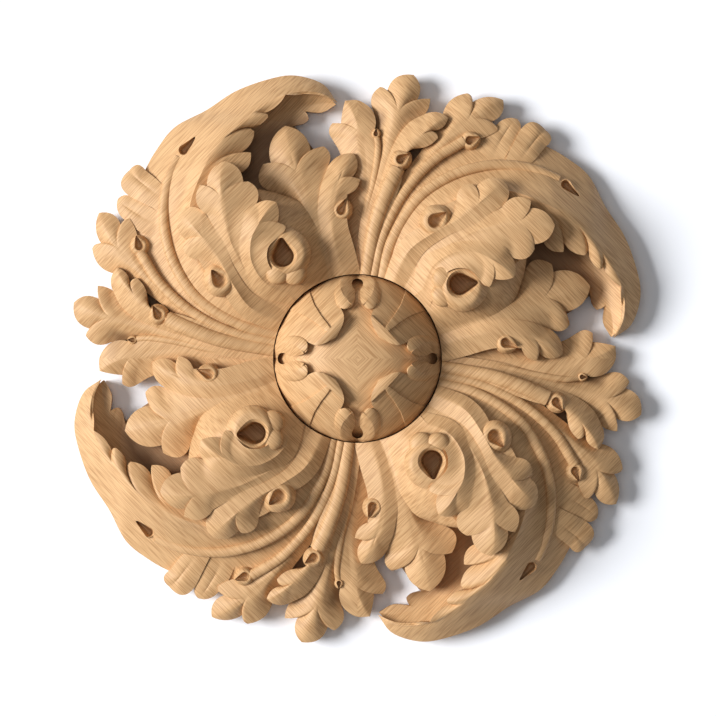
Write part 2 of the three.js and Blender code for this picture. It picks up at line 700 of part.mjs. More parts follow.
// The squared distances to the planes round a point, as the ten terms of a quadric
function addPlane(terms, normal, offset, weight) {
  const plane = [normal.x, normal.y, normal.z, offset];
  let k = 0;
  for (let i = 0; i < 4; i++) {
    for (let j = i; j < 4; j++) terms[k++] += weight * plane[i] * plane[j];
  }
}
function distanceTo(terms, more, p) {
  const q = [p.x, p.y, p.z, 1];
  let sum = 0;
  let k = 0;
  for (let i = 0; i < 4; i++) {
    for (let j = i; j < 4; j++) {
      sum += (i === j ? 1 : 2) * (terms[k] + more[k]) * q[i] * q[j];
      k++;
    }
  }
  return sum;
}

// The same solid with fewer facets: edges that bend the surface least are closed up first
function thinned(made, most) {
  const mesh = made.getMesh();
  const points = [];
  for (let i = 0; i < mesh.numVert; i++) {
    points.push(new THREE.Vector3().fromArray(mesh.vertProperties, i * mesh.numProp));
  }
  let faces = [];
  for (let i = 0; i < mesh.triVerts.length; i += 3) faces.push(Array.from(mesh.triVerts.slice(i, i + 3)));
  const terms = points.map(() => new Float64Array(10));
  const normalOf = (a, b, c) => b.clone().sub(a).cross(c.clone().sub(a));
  faces.forEach((face) => {
    const [a, b, c] = face.map((id) => points[id]);
    const normal = normalOf(a, b, c);
    const area = normal.length() / 2;
    if (area < 1e-9) return;
    normal.normalize();
    face.forEach((id) => addPlane(terms[id], normal, -normal.dot(a), area));
  });
  const onBack = (id) => points[id].z < 1e-4;
  while (faces.length > most) {
    const around = points.map(() => []);
    faces.forEach((face, k) => face.forEach((id) => around[id].push(k)));
    const edges = [];
    faces.forEach((face) => {
      for (let k = 0; k < 3; k++) {
        const [a, b] = [face[k], face[(k + 1) % 3]];
        if (a > b) continue;
        let places = [points[a], points[b], points[a].clone().lerp(points[b], 0.5)];
        if (onBack(a) !== onBack(b)) places = [points[onBack(a) ? a : b]];
        const costs = places.map((p) => distanceTo(terms[a], terms[b], p));
        const cost = Math.min(...costs);
        edges.push({ a, b, cost, place: places[costs.indexOf(cost)] });
      }
    });
    edges.sort((e, f) => e.cost - f.cost);
    const touched = new Uint8Array(points.length);
    const before = faces.length;
    let left = before;
    for (const { a, b, place } of edges.slice(0, Math.ceil(edges.length / 4))) {
      if (left <= most) break;
      if (touched[a] || touched[b]) continue;
      const ringOf = (id) => new Set(around[id].flatMap((k) => faces[k]));
      const [ringA, ringB] = [ringOf(a), ringOf(b)];
      const shared = [...ringA].filter((id) => ringB.has(id) && id !== a && id !== b);
      if (shared.length !== 2) continue;
      const turnsOver = [...around[a], ...around[b]].some((k) => {
        const face = faces[k];
        if (face.includes(a) && face.includes(b)) return false;
        const moved = face.map((id) => (id === a || id === b ? place : points[id]));
        const then = normalOf(...moved);
        const now = normalOf(...face.map((id) => points[id]));
        return then.length() < 1e-3 || then.dot(now) < 0.35 * then.length() * now.length();
      });
      if (turnsOver) continue;
      around[b].forEach((k) => {
        faces[k] = faces[k].map((id) => (id === b ? a : id));
      });
      points[a] = place.clone();
      terms[b].forEach((value, k) => (terms[a][k] += value));
      [...ringA, ...ringB].forEach((id) => (touched[id] = 1));
      left -= 2;
    }
    faces = faces.filter(([a, b, c]) => a !== b && b !== c && c !== a);
    if (faces.length === before) break;
  }
  return solid(points, faces.flat());
}

const joined = (pieces) => pieces.reduce((sum, piece) => sum.add(piece));
const aroundCentre = (made, copies) =>
  joined(Array.from({ length: copies }, (_, k) => spun(made, (2 * Math.PI * k) / copies)));

// The web under all the leaves, as rings of the same outline
function web() {
  const outline = [];
  for (let k = 0; k < LEAVES; k++) {
    outline.push(...WEB.map((p) => turnedBy(p, (-2 * Math.PI * k) / LEAVES)));
  }
  outline.reverse();
  const level = ([share, height]) => (angle) => {
    const [x, y] = outline[Math.round((angle / (2 * Math.PI)) * outline.length) % outline.length];
    return mark([x * share, y * share, height], leafScale);
  };
  return ringed(WEB_PROFILE.map(level), outline.length);
}

// The ring of leaves
function leafRing() {
  const eyes = Object.values(EYES);
  const leaf = joined([
    ...Object.values(LEAFLETS).map((form) => leaflet(form)),
    ...Object.values(PIPES).map((form) => pipe(form)),
    ...eyes.map(eyeRim),
    ...COLLAR_LOBES.map(mound),
  ]);
  const pockets = joined(eyes.map(eyePocket));
  const seatRadius = BUTTON_RADIUS + BUTTON_CLEARANCE;
  const seat = cylinder(seatRadius, SEAT_HEIGHT, 2 * RELIEF_HEIGHT);
  const ring = aroundCentre(leaf, LEAVES).add(web()).subtract(aroundCentre(pockets, LEAVES)).subtract(seat);
  return thinned(ring, RING_FACETS);
}

// The height of the button's dome over a place, in marks
function domeHeight([x, y]) {
  const radius = Math.hypot(x, y);
  const found = DOME.findIndex(([r]) => r > radius);
  const k = found < 0 ? DOME.length - 1 : found;
  const [[r0, z0], [r1, z1]] = [DOME[k - 1], DOME[k]];
  return THREE.MathUtils.lerp(z0, z1, clamp01((radius - r0) / (r1 - r0)));
}

// The opening, straight through the dome
function opening() {
  const mirrored = OPENING.slice(1, -1).reverse().map(([x, y]) => [y, x]);
  const outline = [];
  for (let k = 0; k < PETALS; k++) {
    const turn = (-2 * Math.PI * k) / PETALS;
    outline.push(...[...OPENING, ...mirrored].map((p) => turnedBy(p, turn)));
  }
  const corners = outline.map(([x, y]) => new THREE.Vector2(x * buttonScale, y * buttonScale));
  const shape = new THREE.Shape(corners);
  const made = new THREE.ExtrudeGeometry(shape, { depth: CUT_TOP * heightScale, bevelEnabled: false });
  made.translate(0, 0, SEAT_HEIGHT + SEAT_CLEARANCE + BASE_LEFT);
  return solidOf(made);
}

// A strip over the dome between two mirrored lines. Its section is [share of the half
// width, height over the dome], with null for its foot.
function strip(line, sectionAt, foot, turn) {
  const rings = line.map(([place, half]) =>
    sectionAt(place).map(([share, height]) => {
      const at = turnedBy([place, share * half], turn);
      return mark([...at, height === null ? foot : domeHeight(at) + height], buttonScale);
    })
  );
  return lofted(rings);
}

// A low ledge raised on the dome
function ledge(line, rise, turn) {
  const section = LEDGE_SECTION.map(([share, lift]) => [share, lift === null ? null : lift * rise]);
  return strip(line, () => section, DOME.at(-1)[1] - LEDGE_DEPTH, turn);
}

// The wood cut away over a petal's lip
function lipCut(turn) {
  const start = LIP_PLACES[0];
  const [end, above] = LIP_CLEAR;
  const left = (place) => {
    const rolled = Math.max(0, (start - place) / LIP_WIDTH);
    return VEIN_RISE + (place === end ? above : -LIP_SKIM) - LIP_DROP * rolled ** LIP_ROLL;
  };
  const shares = [-1, -0.6, -0.2, 0.2, 0.6, 1];
  const sectionAt = (place) => [...shares.map((share) => [share, left(place)]), [1, null], [-1, null]];
  const line = [end, ...LIP_PLACES].map((place) => [place, LIP_HALF]);
  return strip(line, sectionAt, CUT_TOP, turn);
}

// The wood cut away over the ears beside a slot
function earCut(turn) {
  const left = (share) => EAR_RISE - EAR_DROP * (1 - Math.abs(share) / EAR_LEDGE) ** EAR_ROLL;
  const shares = [-EAR_LEDGE, -0.6, -0.3, 0, 0.3, 0.6, EAR_LEDGE];
  const section = [...shares.map((share) => [share, left(share)]), [EAR_LEDGE, null], [-EAR_LEDGE, null]];
  return strip(EARS, () => section, CUT_TOP, turn);
}

// The button: a dome with raised veins and ears, cut down over its lips and slots, opened,
// and laid over its field
function button() {
  const foot = SEAT_HEIGHT + SEAT_CLEARANCE;
  const raised = [turned(DOME, buttonScale, foot)];
  const cuts = [opening()];
  for (let k = 0; k < PETALS; k++) {
    const slot = (2 * Math.PI * k) / PETALS;
    const petal = slot + Math.PI / PETALS;
    raised.push(ledge(VEIN, VEIN_RISE, petal), ledge(EARS, EAR_RISE, slot));
    cuts.push(lipCut(petal), earCut(slot));
  }
  const limit = cylinder(BUTTON_RADIUS, foot, 2 * RELIEF_HEIGHT);
  const petals = joined(raised).intersect(limit).subtract(joined(cuts));
  return thinned(petals.add(turned(FIELD_PROFILE, buttonScale, foot)), BUTTON_FACETS);
}

function meshOf(name, made, material) {
  const { numVert, numProp, vertProperties, triVerts } = made.getMesh();
  const positions = new Float32Array(numVert * 3);
  for (let i = 0; i < numVert; i++) {
    positions.set(vertProperties.subarray(i * numProp, i * numProp + 3), i * 3);
  }
  const geometry = new THREE.BufferGeometry();
  geometry.setAttribute("position", new THREE.BufferAttribute(positions, 3));
  geometry.setIndex(new THREE.BufferAttribute(triVerts, 1));
  geometry.computeVertexNormals();
  const mesh = new THREE.Mesh(geometry, material);
  mesh.name = name;
  return mesh;
}

const wood = new THREE.MeshStandardMaterial({ color: 0xd8a871, roughness: 0.62, metalness: 0 });
const rosette = new THREE.Group();
rosette.add(meshOf("leaf_ring", leafRing(), wood));
rosette.add(meshOf("centre_button", button(), wood));

export default rosette;
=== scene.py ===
import bmesh
import bpy
import numpy as np
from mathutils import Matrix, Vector


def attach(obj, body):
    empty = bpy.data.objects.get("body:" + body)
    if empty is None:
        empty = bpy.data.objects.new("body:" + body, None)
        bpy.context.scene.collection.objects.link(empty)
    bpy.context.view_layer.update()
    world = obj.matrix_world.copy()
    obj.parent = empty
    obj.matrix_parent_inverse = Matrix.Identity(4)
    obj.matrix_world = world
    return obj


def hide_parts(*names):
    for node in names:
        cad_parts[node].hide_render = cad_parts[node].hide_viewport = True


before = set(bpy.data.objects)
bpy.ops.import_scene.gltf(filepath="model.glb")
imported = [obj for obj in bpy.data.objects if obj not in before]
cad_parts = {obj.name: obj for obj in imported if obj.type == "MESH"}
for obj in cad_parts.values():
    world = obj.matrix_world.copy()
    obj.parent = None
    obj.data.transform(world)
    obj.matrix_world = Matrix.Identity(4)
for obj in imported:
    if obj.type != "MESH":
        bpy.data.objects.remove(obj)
for left_over in ("Cube", "Light", "Camera"):
    if left_over in bpy.data.objects:
        bpy.data.objects.remove(bpy.data.objects[left_over])
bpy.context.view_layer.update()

# A carved rosette of light wood lying on its flat back: four swirling acanthus leaves
# round a button of four folded petals. Lengths are in millimetres until a mesh is finished.
LEAF_RADIUS = 140.0
RELIEF_HEIGHT = 48.0
BUTTON_RADIUS = 41.0
BUTTON_CLEARANCE = 0.5
SEAT_HEIGHT = 9.0
SEAT_CLEARANCE = 0.3
LEAVES = 4
QUARTER_TURN = np.pi / 2
MILLIMETRE = 0.001

# Points are marked out as (x, y, height): x and y in hundredths of the leaf's radius, and
# height in marks, of which 44 reach from the back to the top of the button.
LEAF_MARKS = 100
HEIGHT_MARKS = 44
BUTTON_MARKS = 29.3
LEAF_SCALE = LEAF_RADIUS / LEAF_MARKS
HEIGHT_SCALE = RELIEF_HEIGHT / HEIGHT_MARKS
BUTTON_SCALE = BUTTON_RADIUS / BUTTON_MARKS

# How far a leaflet's foot stands back under its edge, if it is an outer or an inner one, the
# largest share of the rib that this may be, and how thick the edge is
UNDERCUT = 5.0
INNER_UNDERCUT = 0.4
MOST_UNDERCUT = 0.6
EDGE_THICKNESS = 2.4

# How finely a leaflet is divided: columns on each side of its spine and steps in each row.
# The flow of an edge up to its first lobe gets this share of the rows that its length asks.
COLUMNS = 7
ROW_STEPS = 4
FLOW_SHARE = 0.6

# How a leaflet's ribs run: they set off along its spine and sweep out to its edge. The sweep
# grows from none at the root to all of it at this share of the rows.
FULL_SWEEP = 0.42
SWEPT_BY = 0.35
ROUND = 1.5
CREASE = 0.1
LOBE_BULGE = 0.25

# Where ribs leave the spine: found to one part in 120, a little before the place beside
# their edge points, and with at least this share of an even step between them. A heading
# is taken over this share of the path to each side.
SPINE_PARTS = 120
SPINE_LAG = 0.96
LEAST_STEP = 0.25
HEADING_STEP = 0.01

# One leaf of the ring. A leaflet grows along its spine from the button to its tip. On each
# side its edge flows out from the root and turns through lobes, given as the lobe's tip and
# the notch after it. A fourth number sets how round a lobe's side is. A valley runs in from
# each notch: its depth, and the share of the rib where it starts (crease). "round" sets how
# late the surface drops towards the edge.
LEAFLETS = {
    "hood": dict(
        rows=24,
        undercut=UNDERCUT,
        valley=1.2,
        spine=[
            (13, 25, 22), (19, 42, 26), (32, 55, 26.5), (50, 59, 27.5), (66, 54, 28.5),
            (78, 46.5, 26.4), (86.6, 37, 21.6), (91.8, 29, 18.4), (94.4, 21, 15.4),
        ],
        tip=(90.5, 7.3, 11),
        left=dict(
            crease=0.84,
            round=1.2,
            flow=[
                (5, 28, 19), (8.5, 44, 20), (15, 58, 19), (25, 69, 16), (36, 76.5, 13.4),
                (46, 80.4, 10.8), (56, 79.4, 9.4),
            ],
            lobes=[],
            last=[
                (66, 75.4, 8), (74, 71, 7.2), (82, 64.5, 6.8), (87.8, 53.5, 8), (94.5, 43, 9),
                (98.8, 31, 9.5), (100, 22, 9.5), (97, 12.3, 9.5),
            ],
        ),
        right=dict(
            crease=0.15,
            valley=2.4,
            flow=[(19, 20, 23), (28, 34, 25), (42, 42, 25), (56, 43.5, 25.5), (64.6, 42.8, 25)],
            lobes=[
                (72.2, 37.4, 22.5, 0.22), (72.3, 41, 24, 0.05), (79.7, 36.2, 21.5, 0.14),
                (81.3, 39.8, 22.5, 0.1), (84.8, 31.4, 21.5, 0.16), (86.3, 32.6, 21.5),
                (92.7, 25.3, 19.6, 0.1), (93.2, 18.6, 17, 0.04),
            ],
            last=[(92.8, 13, 14.5)],
        ),
    ),
    "hood_lobe_one": dict(
        rows=8,
        undercut=UNDERCUT,
        valley=0,
        spine=[(47, 70, 16.6), (50, 76, 14.1), (53, 81, 11.4)],
        tip=(56.4, 84.7, 8.6),
        left=dict(flow=[(43, 73, 15.2), (46, 79, 13.2), (50, 83.4, 10.4)], lobes=[], last=0.14),
        right=dict(flow=[(50, 68, 17.4), (54, 74, 14.9), (57, 79.6, 11.2)], lobes=[], last=0.2),
    ),
    "hood_lobe_two": dict(
        rows=8,
        undercut=UNDERCUT,
        valley=0,
        spine=[(56, 68, 17.8), (59.6, 73, 15.2), (63, 77.4, 12)],
        tip=(66.6, 80.6, 8.4),
        left=dict(flow=[(52, 70, 17.4), (55, 76, 14.6), (57, 80, 11.6)], lobes=[], last=0.34),
        right=dict(flow=[(58.6, 66, 18), (63, 70.6, 14.8), (66.4, 74.8, 10.6)], lobes=[], last=0.34),
    ),
    "hollow": dict(
        rows=10,
        valley=0.8,
        spine=[(48, 30, 7), (62, 36, 4), (75, 34, 4.4), (84, 28, 6.5), (88.5, 20, 8)],
        tip=(89.8, 7.6, 8),
        left=dict(
            flow=[(46, 38, 9), (62, 46, 8), (78, 45, 9), (90, 32, 11.5), (94.5, 20, 13)],
            lobes=[],
            last=[(94, 12, 12)],
        ),
        right=dict(
            flow=[(50, 24, 8), (64, 25, 6), (76, 24, 6.5), (81.3, 24.6, 7.5), (82.7, 20.5, 8)],
            lobes=[(84.6, 17.3, 8, 0.12), (87.4, 18.6, 9, 0.1)],
            last=[(87, 12.6, 8.5)],
        ),
    ),
    "outer_one": dict(
        rows=14,
        undercut=UNDERCUT,
        valley=1.5,
        spine=[(-2, 27, 19), (1, 48, 18), (3, 62, 16.5), (2.4, 73, 14), (0.6, 81, 13)],
        tip=(-4.4, 91.2, 8.5),
        left=dict(
            flow=[(-6, 27, 18), (-6, 48, 15), (-4.6, 62, 12), (-6, 72, 10.5), (-9.2, 78, 9)],
            lobes=[(-8.9, 83.2, 8, 0.2), (-5.9, 82.3, 10, 0.1)],
            last=0.03,
        ),
        right=dict(
            flow=[(2, 27, 19), (4.5, 48, 18.5), (7.6, 62, 17), (8, 72, 15), (5.6, 79.5, 12.5)],
            lobes=[],
            last=[(6.5, 83.5, 11.5), (5, 88, 10), (0.5, 91.2, 8.5)],
        ),
    ),
    "outer_two": dict(
        rows=16,
        undercut=UNDERCUT,
        valley=1.8,
        spine=[(1, 27, 20), (4, 48, 20.5), (7.6, 64, 17.5), (11.6, 78, 14.5), (14.8, 88.5, 13.5)],
        tip=(19.8, 100.3, 8.5),
        left=dict(
            flow=[(-2, 27, 20), (1, 48, 19.5), (4.6, 64, 15), (7, 76, 11), (5.7, 87.5, 9)],
            lobes=[(8, 96.1, 7.5, 0.22), (10.2, 93.4, 9.5)],
            last=0.24,
        ),
        right=dict(
            flow=[(4, 27, 20), (8, 49, 20.5), (12, 66, 17.5), (17, 78, 13.5), (24, 86.5, 10.5)],
            lobes=[(25.7, 91.8, 9, 0.08), (20.8, 91, 11, 0.04)],
            last=0.2,
        ),
    ),
    "outer_three": dict(
        rows=15,
        undercut=UNDERCUT,
        valley=1.4,
        spine=[(3, 27, 21), (7.5, 48, 23), (12.4, 63, 22), (17.6, 73.5, 20.5), (23.4, 79.6, 19.5)],
        tip=(32, 84.7, 15.5),
        left=dict(
            flow=[
                (1, 27, 20), (4.6, 48, 21), (8.6, 64, 18), (13, 76, 15.5), (18, 83, 14),
                (24.2, 86.4, 13),
            ],
            lobes=[],
            last=0.16,
        ),
        right=dict(
            flow=[(6, 27, 21), (10.6, 48, 22.5), (15.6, 63, 21), (15.8, 70, 20.5), (18.6, 74.3, 19.5)],
            lobes=[(28.3, 77.6, 18, 0.16), (25.6, 80.2, 18.5, 0.2)],
            last=0.2,
        ),
    ),
    "outer_four": dict(
        rows=15,
        undercut=UNDERCUT,
        valley=1.5,
        spine=[
            (5, 27, 21), (11, 49, 21.5), (19, 63, 19.5), (28, 74, 18), (35, 81, 16),
            (40.5, 85.5, 14.5),
        ],
        tip=(51.5, 91.4, 8.5),
        left=dict(
            flow=[(3, 27, 20), (8, 49, 20), (15, 63, 17), (23, 74, 14.5), (29.8, 84, 11)],
            lobes=[(38.8, 93.8, 8.5, 0.2), (40.3, 90.4, 10.5)],
            last=0.14,
        ),
        right=dict(
            flow=[(7, 27, 21), (13.6, 49, 21.5), (22, 63, 18.5), (32, 72.6, 17.5), (38, 77.4, 17)],
            lobes=[(49.4, 80.4, 13, 0.1), (46.7, 83.4, 13.5, 0.2)],
            last=0.22,
        ),
    ),
    "swell": dict(
        rows=12,
        valley=0,
        spine=[(18, 20, 24), (28, 31, 31), (40, 40, 34.5), (50, 45, 35)],
        tip=(61, 47, 32),
        left=dict(
            flow=[(11, 27, 21), (18, 41, 26), (26, 50, 29), (36, 56, 30), (48, 57, 30)],
            lobes=[],
            last=0.1,
        ),
        right=dict(
            flow=[(25, 17, 24), (33, 23, 31), (43, 28, 34), (52, 33, 34), (59, 39, 32)],
            lobes=[],
            last=0.05,
        ),
    ),
    "fold_one": dict(
        rows=16,
        valley=0.8,
        spine=[(12, 25, 24), (17.5, 37, 30), (26, 43.5, 34), (35, 48.5, 35), (43, 54.6, 35.5)],
        tip=(51, 62.3, 29.5),
        left=dict(
            flow=[
                (9, 27, 22), (13.6, 39, 26), (21, 45.6, 30), (29, 46.5, 32), (33.4, 50.6, 32),
                (34.6, 56, 30.5),
            ],
            lobes=[(39.9, 61.1, 29, 0.22), (41.1, 59.5, 30)],
            last=0.2,
        ),
        right=dict(
            flow=[(17, 24, 24), (22.5, 36, 29.5), (31, 42.5, 33.6), (41, 46.8, 35.2), (50.4, 53, 34)],
            lobes=[],
            last=0.24,
        ),
    ),
    "fold_two": dict(
        rows=17,
        valley=1,
        spine=[(20, 24, 25.5), (27, 36, 32), (38, 43, 36), (48, 46, 38), (58, 47.6, 38.8)],
        tip=(68.7, 46.4, 36.4),
        left=dict(
            flow=[(15, 25, 23.6), (22, 37, 29), (32, 44, 33.6), (42, 48, 35.1), (50.2, 52.6, 35.6)],
            lobes=[(60.4, 54.9, 34.8, 0.24), (58.3, 52.3, 35.8, 0.04)],
            last=0.2,
        ),
        right=dict(
            flow=[(23, 20, 26), (31, 33, 33.5), (42, 39.4, 37.6), (50, 38.6, 38.2), (53.9, 35.2, 36.8)],
            lobes=[(61.7, 38.1, 35, 0.24), (60, 39.9, 36.2, 0.1)],
            last=0.22,
        ),
    ),
    "fold_three": dict(
        rows=16,
        valley=0.8,
        spine=[(22, 20, 27), (25.5, 31, 33), (33, 36.6, 37.5), (41, 37, 40), (47.5, 34, 41)],
        tip=(54.3, 28.2, 38.4),
        left=dict(
            flow=[
                (18, 21, 25), (22, 34, 29.3), (31, 40.2, 33), (42, 41.8, 36.6), (50.4, 39.4, 37.6),
                (53.8, 35.2, 36.2),
            ],
            lobes=[],
            last=0.14,
        ),
        right=dict(
            flow=[(25, 17, 27), (28.6, 27, 34.5), (33, 31, 38), (38.6, 31, 39.4), (43, 26.8, 38)],
            lobes=[(45.9, 25, 37, 0.14), (46.9, 28, 38.2, 0.16)],
            last=0.1,
        ),
    ),
    "shoulder": dict(
        rows=9,
        valley=0,
        spine=[(24, 16, 26), (33, 20, 33), (43, 24, 35), (50, 29, 33.5)],
        tip=(59.2, 36.8, 27),
        left=dict(
            flow=[(20, 22, 27), (30, 30, 34), (42, 34, 35), (50, 36, 33)],
            lobes=[],
            last=0.08,
        ),
        right=dict(
            flow=[(27, 9, 22), (38, 11.6, 23.5), (48, 14.6, 23.5), (55, 20.6, 22.5), (58, 28, 22)],
            lobes=[],
            last=0.04,
        ),
    ),
    "inner_one": dict(
        rows=17,
        undercut=UNDERCUT,
        valley=1.1,
        spine=[(25, 11, 23), (38, 14, 24.5), (50, 17, 24), (60, 20, 21.5), (68, 22.4, 19.5)],
        tip=(82, 25.5, 14.5),
        left=dict(
            flow=[(25, 14, 23), (38, 18, 24), (49, 21, 22.5), (55.6, 23.4, 18.5), (58.4, 29, 18)],
            lobes=[(68.4, 33.2, 16.6, 0.34), (67.5, 30, 17.6, 0.12)],
            last=0.2,
        ),
        right=dict(
            flow=[(26, 7, 21), (38, 11, 23.8), (50, 13.4, 24), (60, 12.8, 20.8), (68.8, 10, 15)],
            lobes=[(74.8, 11.9, 12.6, 0.2), (71.8, 16.4, 15, 0.16)],
            last=0.2,
        ),
    ),
    "inner_two": dict(
        rows=15,
        undercut=UNDERCUT,
        valley=1.2,
        spine=[(25, 3, 21), (36, 7, 24.6), (47, 9, 25.8), (57, 8.4, 24.2), (64, 6, 21.2)],
        tip=(72.2, 1.3, 15.5),
        left=dict(
            flow=[(26, 9, 20.5), (38, 12.4, 23.6), (50, 14, 24), (60, 13, 21.4), (67.6, 10.4, 16.5)],
            lobes=[],
            last=0.16,
        ),
        right=dict(
            flow=[(26, -2, 20), (37, 0.6, 22), (47, 3.4, 24), (53, 3.6, 23.5), (57.6, 3.6, 23)],
            lobes=[(63, -0.9, 19.5, 0.16), (63.7, 2, 19.5, 0.06)],
            last=0.2,
        ),
    ),
}

# Round pipes that run from an eye back to the button, with their width at root and eye
PIPES = {
    "pipe_one": dict(
        path=[(-0.5, 27, 20), (2.6, 48, 20), (5.8, 63, 17.8), (7.2, 73, 15.6), (6.8, 78, 13.6)],
        width=(1.5, 1.1),
    ),
    "pipe_two": dict(
        path=[(2.5, 27, 22), (6, 46, 24.5), (10, 58, 24.5), (14, 67, 22.5)],
        width=(2.2, 2.8),
    ),
    "pipe_three": dict(
        path=[(5.4, 27, 22), (9, 43, 23.5), (16, 57.6, 22.5), (26, 69.2, 20.5), (37.6, 76.6, 18.6)],
        width=(1.5, 1.9),
    ),
    "pipe_four": dict(
        path=[
            (8.4, 27, 22), (12, 41, 24.2), (20.4, 55.2, 24.2), (31, 63.2, 23.2), (42, 67.2, 21.8),
            (52, 68.1, 20.2), (62, 66.6, 18.8), (71, 63, 17),
        ],
        width=(2.1, 1.7),
    ),
}

# Eyes: a drilled tear shape, with its round end, radius, point, floor and rim. The rim of the
# big one leans over to one side.
EYES = {
    "eye_one": dict(at=(6.5, 79.2), radius=0.75, point=(6.6, 81.2), floor=11, rim=1.2, rim_height=13.8),
    "eye_two": dict(at=(15.3, 69.9), radius=1.5, point=(18.6, 72), floor=17.6, rim=2.2, rim_height=21.6),
    "eye_three": dict(at=(39.6, 76.7), radius=1.4, point=(43.4, 78), floor=14.6, rim=2.2, rim_height=18.3),
    "eye_four": dict(at=(73.4, 61.2), radius=1.5, point=(80, 55.2), floor=11, rim=0.8, rim_height=16.6),
    "eye_five": dict(at=(27.2, 48), radius=2.3, point=(31, 51), floor=29.4, rim=3.4, rim_height=34.4),
    "eye_six": dict(
        at=(35.8, 26), radius=4.2, point=(42.2, 26.6), floor=18, rim=4.2, rim_height=37.7,
        lean=(0.9, -1.3),
    ),
    "eye_seven": dict(at=(52, 5.5), radius=1.6, point=(56.6, 3.7), floor=21.4, rim=2.2, rim_height=25.6),
}

# An eye's outline: how much longer than wide it is once fully grown, and its narrower waist
TEAR = dict(sides=40, long=1.12, point_power=3, waist=0.4)
# The roll round an eye: its height, how round it is, and how far in it climbs
RIM_DROP = 4
RIM_ROUND = 1.3
RIM_INWARD = 0.8
# The hole of an eye: (share of its radius by which it is smaller, height over the floor),
# and the lip that widens above it
POCKET = [(-0.62, 0), (-0.32, 0.6), (-0.14, 2.2)]
POCKET_LIP = dict(inside=-0.08, flare=0.3, depth=2.2, climb=2.3, above=12)

# Pipes: their division, and how much lower than wide they are
PIPE_ROWS = 60
PIPE_COLUMNS = 6
PIPE_FLATNESS = 0.8

# The collar of small lobes behind the big eye, as (middle, radius, height)
COLLAR_LOBES = [((30, 28), 4.2, 37.2), ((29.8, 22.2), 4.2, 36.6)]
LOBE = dict(sides=36, foot=0.95, drop=3, top=0.92 * QUARTER_TURN)

# The web that joins the leaflets below their notches: its outline round one leaf, and its
# height as (share of the outline, height)
WEB = [
    (-5, 72), (0, 82), (6, 84), (12, 88), (22, 84), (30, 84.5), (38, 86), (47, 82),
    (58, 78), (70, 67), (80, 54), (86, 38), (84, 25), (76, 17), (66, 10),
]
WEB_PROFILE = [(0.95, 0), (1, 6), (0.92, 7.5), (0.78, 9.5), (0.62, 13.5), (0.3, 19)]

# The button, in its own marks: a turned dome, the opening that leaves four petals of it and
# the turned field that shows through. Half of one quarter of the opening runs from the end
# of a slot to the middle of a petal's lip, in two smooth runs that meet in a notch.
DOME = [
    (0, 44.7), (10, 44.3), (12, 43.6), (15, 41.7), (18, 38.9), (21, 35.6), (24.5, 31.3),
    (27, 27.4), (28.6, 24.1), (29.3, 21.1),
]
FIELD_PROFILE = [
    (0, 41.1), (6, 40.7), (12, 39.1), (17, 35.9), (21, 32.1), (24, 27.1), (26, 21.1), (28, 14),
]
OPENING = [
    [
        (0, 28.1), (1.3, 27.7), (2, 26.5), (1.6, 25), (1, 24), (0.9, 21.4), (1.5, 19),
        (2.8, 17.6), (4.6, 17.2), (6.1, 17.8), (6.9, 19.2),
    ],
    [(6.9, 19.2), (5.5, 16.9), (4.8, 15.2), (4.7, 13.6), (5.3, 11.4), (6.5, 9), (7.4, 7.4)],
]
# Heights below the field, below the dome and above the whole button
BELOW_FIELD = 12
BELOW_DOME = 18
ABOVE_ALL = 60
# Along a petal's middle line: the raised lip and the vein behind it as (place, half width),
# and how the lip rolls down into the opening
RAISED = [(8, 9), (14.1, 9), (14.2, 0.8), (16, 1.2), (19.4, 1.6), (24, 2.7), (29.8, 5.4)]
LIP = dict(
    rise=1.5, behind=0.3, start=14.1, end=7, half=9.5, drop=3.4, reach=3.9, roundness=1.7,
    clear=0.5, into=-0.05,
)
# Across what is raised: (share of the half width, share of the rise), from foot to foot
RIBBON = [
    (-1, None), (-1, 0.6), (-0.94, 0.9), (-0.6, 1), (-0.2, 1),
    (0.2, 1), (0.6, 1), (0.94, 0.9), (1, 0.6), (1, None),
]
# The rolled ears beside each slot as (place along the slot, half width), and their rise
EARS = [
    (18.4, 1), (18.8, 2.2), (19.6, 3.3), (20.6, 4.2), (21.7, 5), (23, 5.75), (24.4, 6.3),
    (25.6, 6.6), (26.8, 6.6), (27.8, 6.1), (28.6, 5.2), (29.4, 4),
]
EAR_RISE = [(18.4, 1.3), (20.6, 2.3), (24, 1.7), (29.4, 0.9)]
EAR_ROLL = dict(share=0.92, drop=5.4, roundness=1.3)
VOLUTE = dict(
    sides=36, along=22.2, aside=4.6, length=5.4, width=3.6, rise=2.6, sunk=0.15, middle=0.06,
)
# Turned parts: their sides, and the radius below which they close in a flat
CIRCLE_SIDES = 128
THINNEST = 0.05

# Corners closer than this are one, and an edge bent further than this stays crisp
DOUBLE = 0.002
SHARP_ANGLE = np.radians(38)

# The wood: two tones of its fibres, and painted shade that darkens the ground under the hoods
DARK_WOOD = (0.44, 0.242, 0.104, 1)
LIGHT_WOOD = (0.63, 0.388, 0.19, 1)
PAINTED_SHADE_WOOD = (0.16, 0.075, 0.03, 1)
PAINTED_SHADE_SHARE = 0.75
# The painted shade on that ground ends between these heights, radii and angles in its quarter,
# and it stays off the back. All are in metres and radians.
GROUND_TOP = (0.0104, 0.0136)
GROUND_RADIUS = (0.118, 0.126)
GROUND_ANGLE = (0.13, 0.22)
GROUND_FOOT = (0.0005, 0.002)


def marked(points, scale):
    """Points in millimetres from points in marks."""
    return np.array([(p[0] * scale, p[1] * scale, p[2] * HEIGHT_SCALE) for p in points])


def smoothstep(x, low, high):
    t = np.clip((x - low) / (high - low), 0, 1)
    return t * t * (3 - 2 * t)


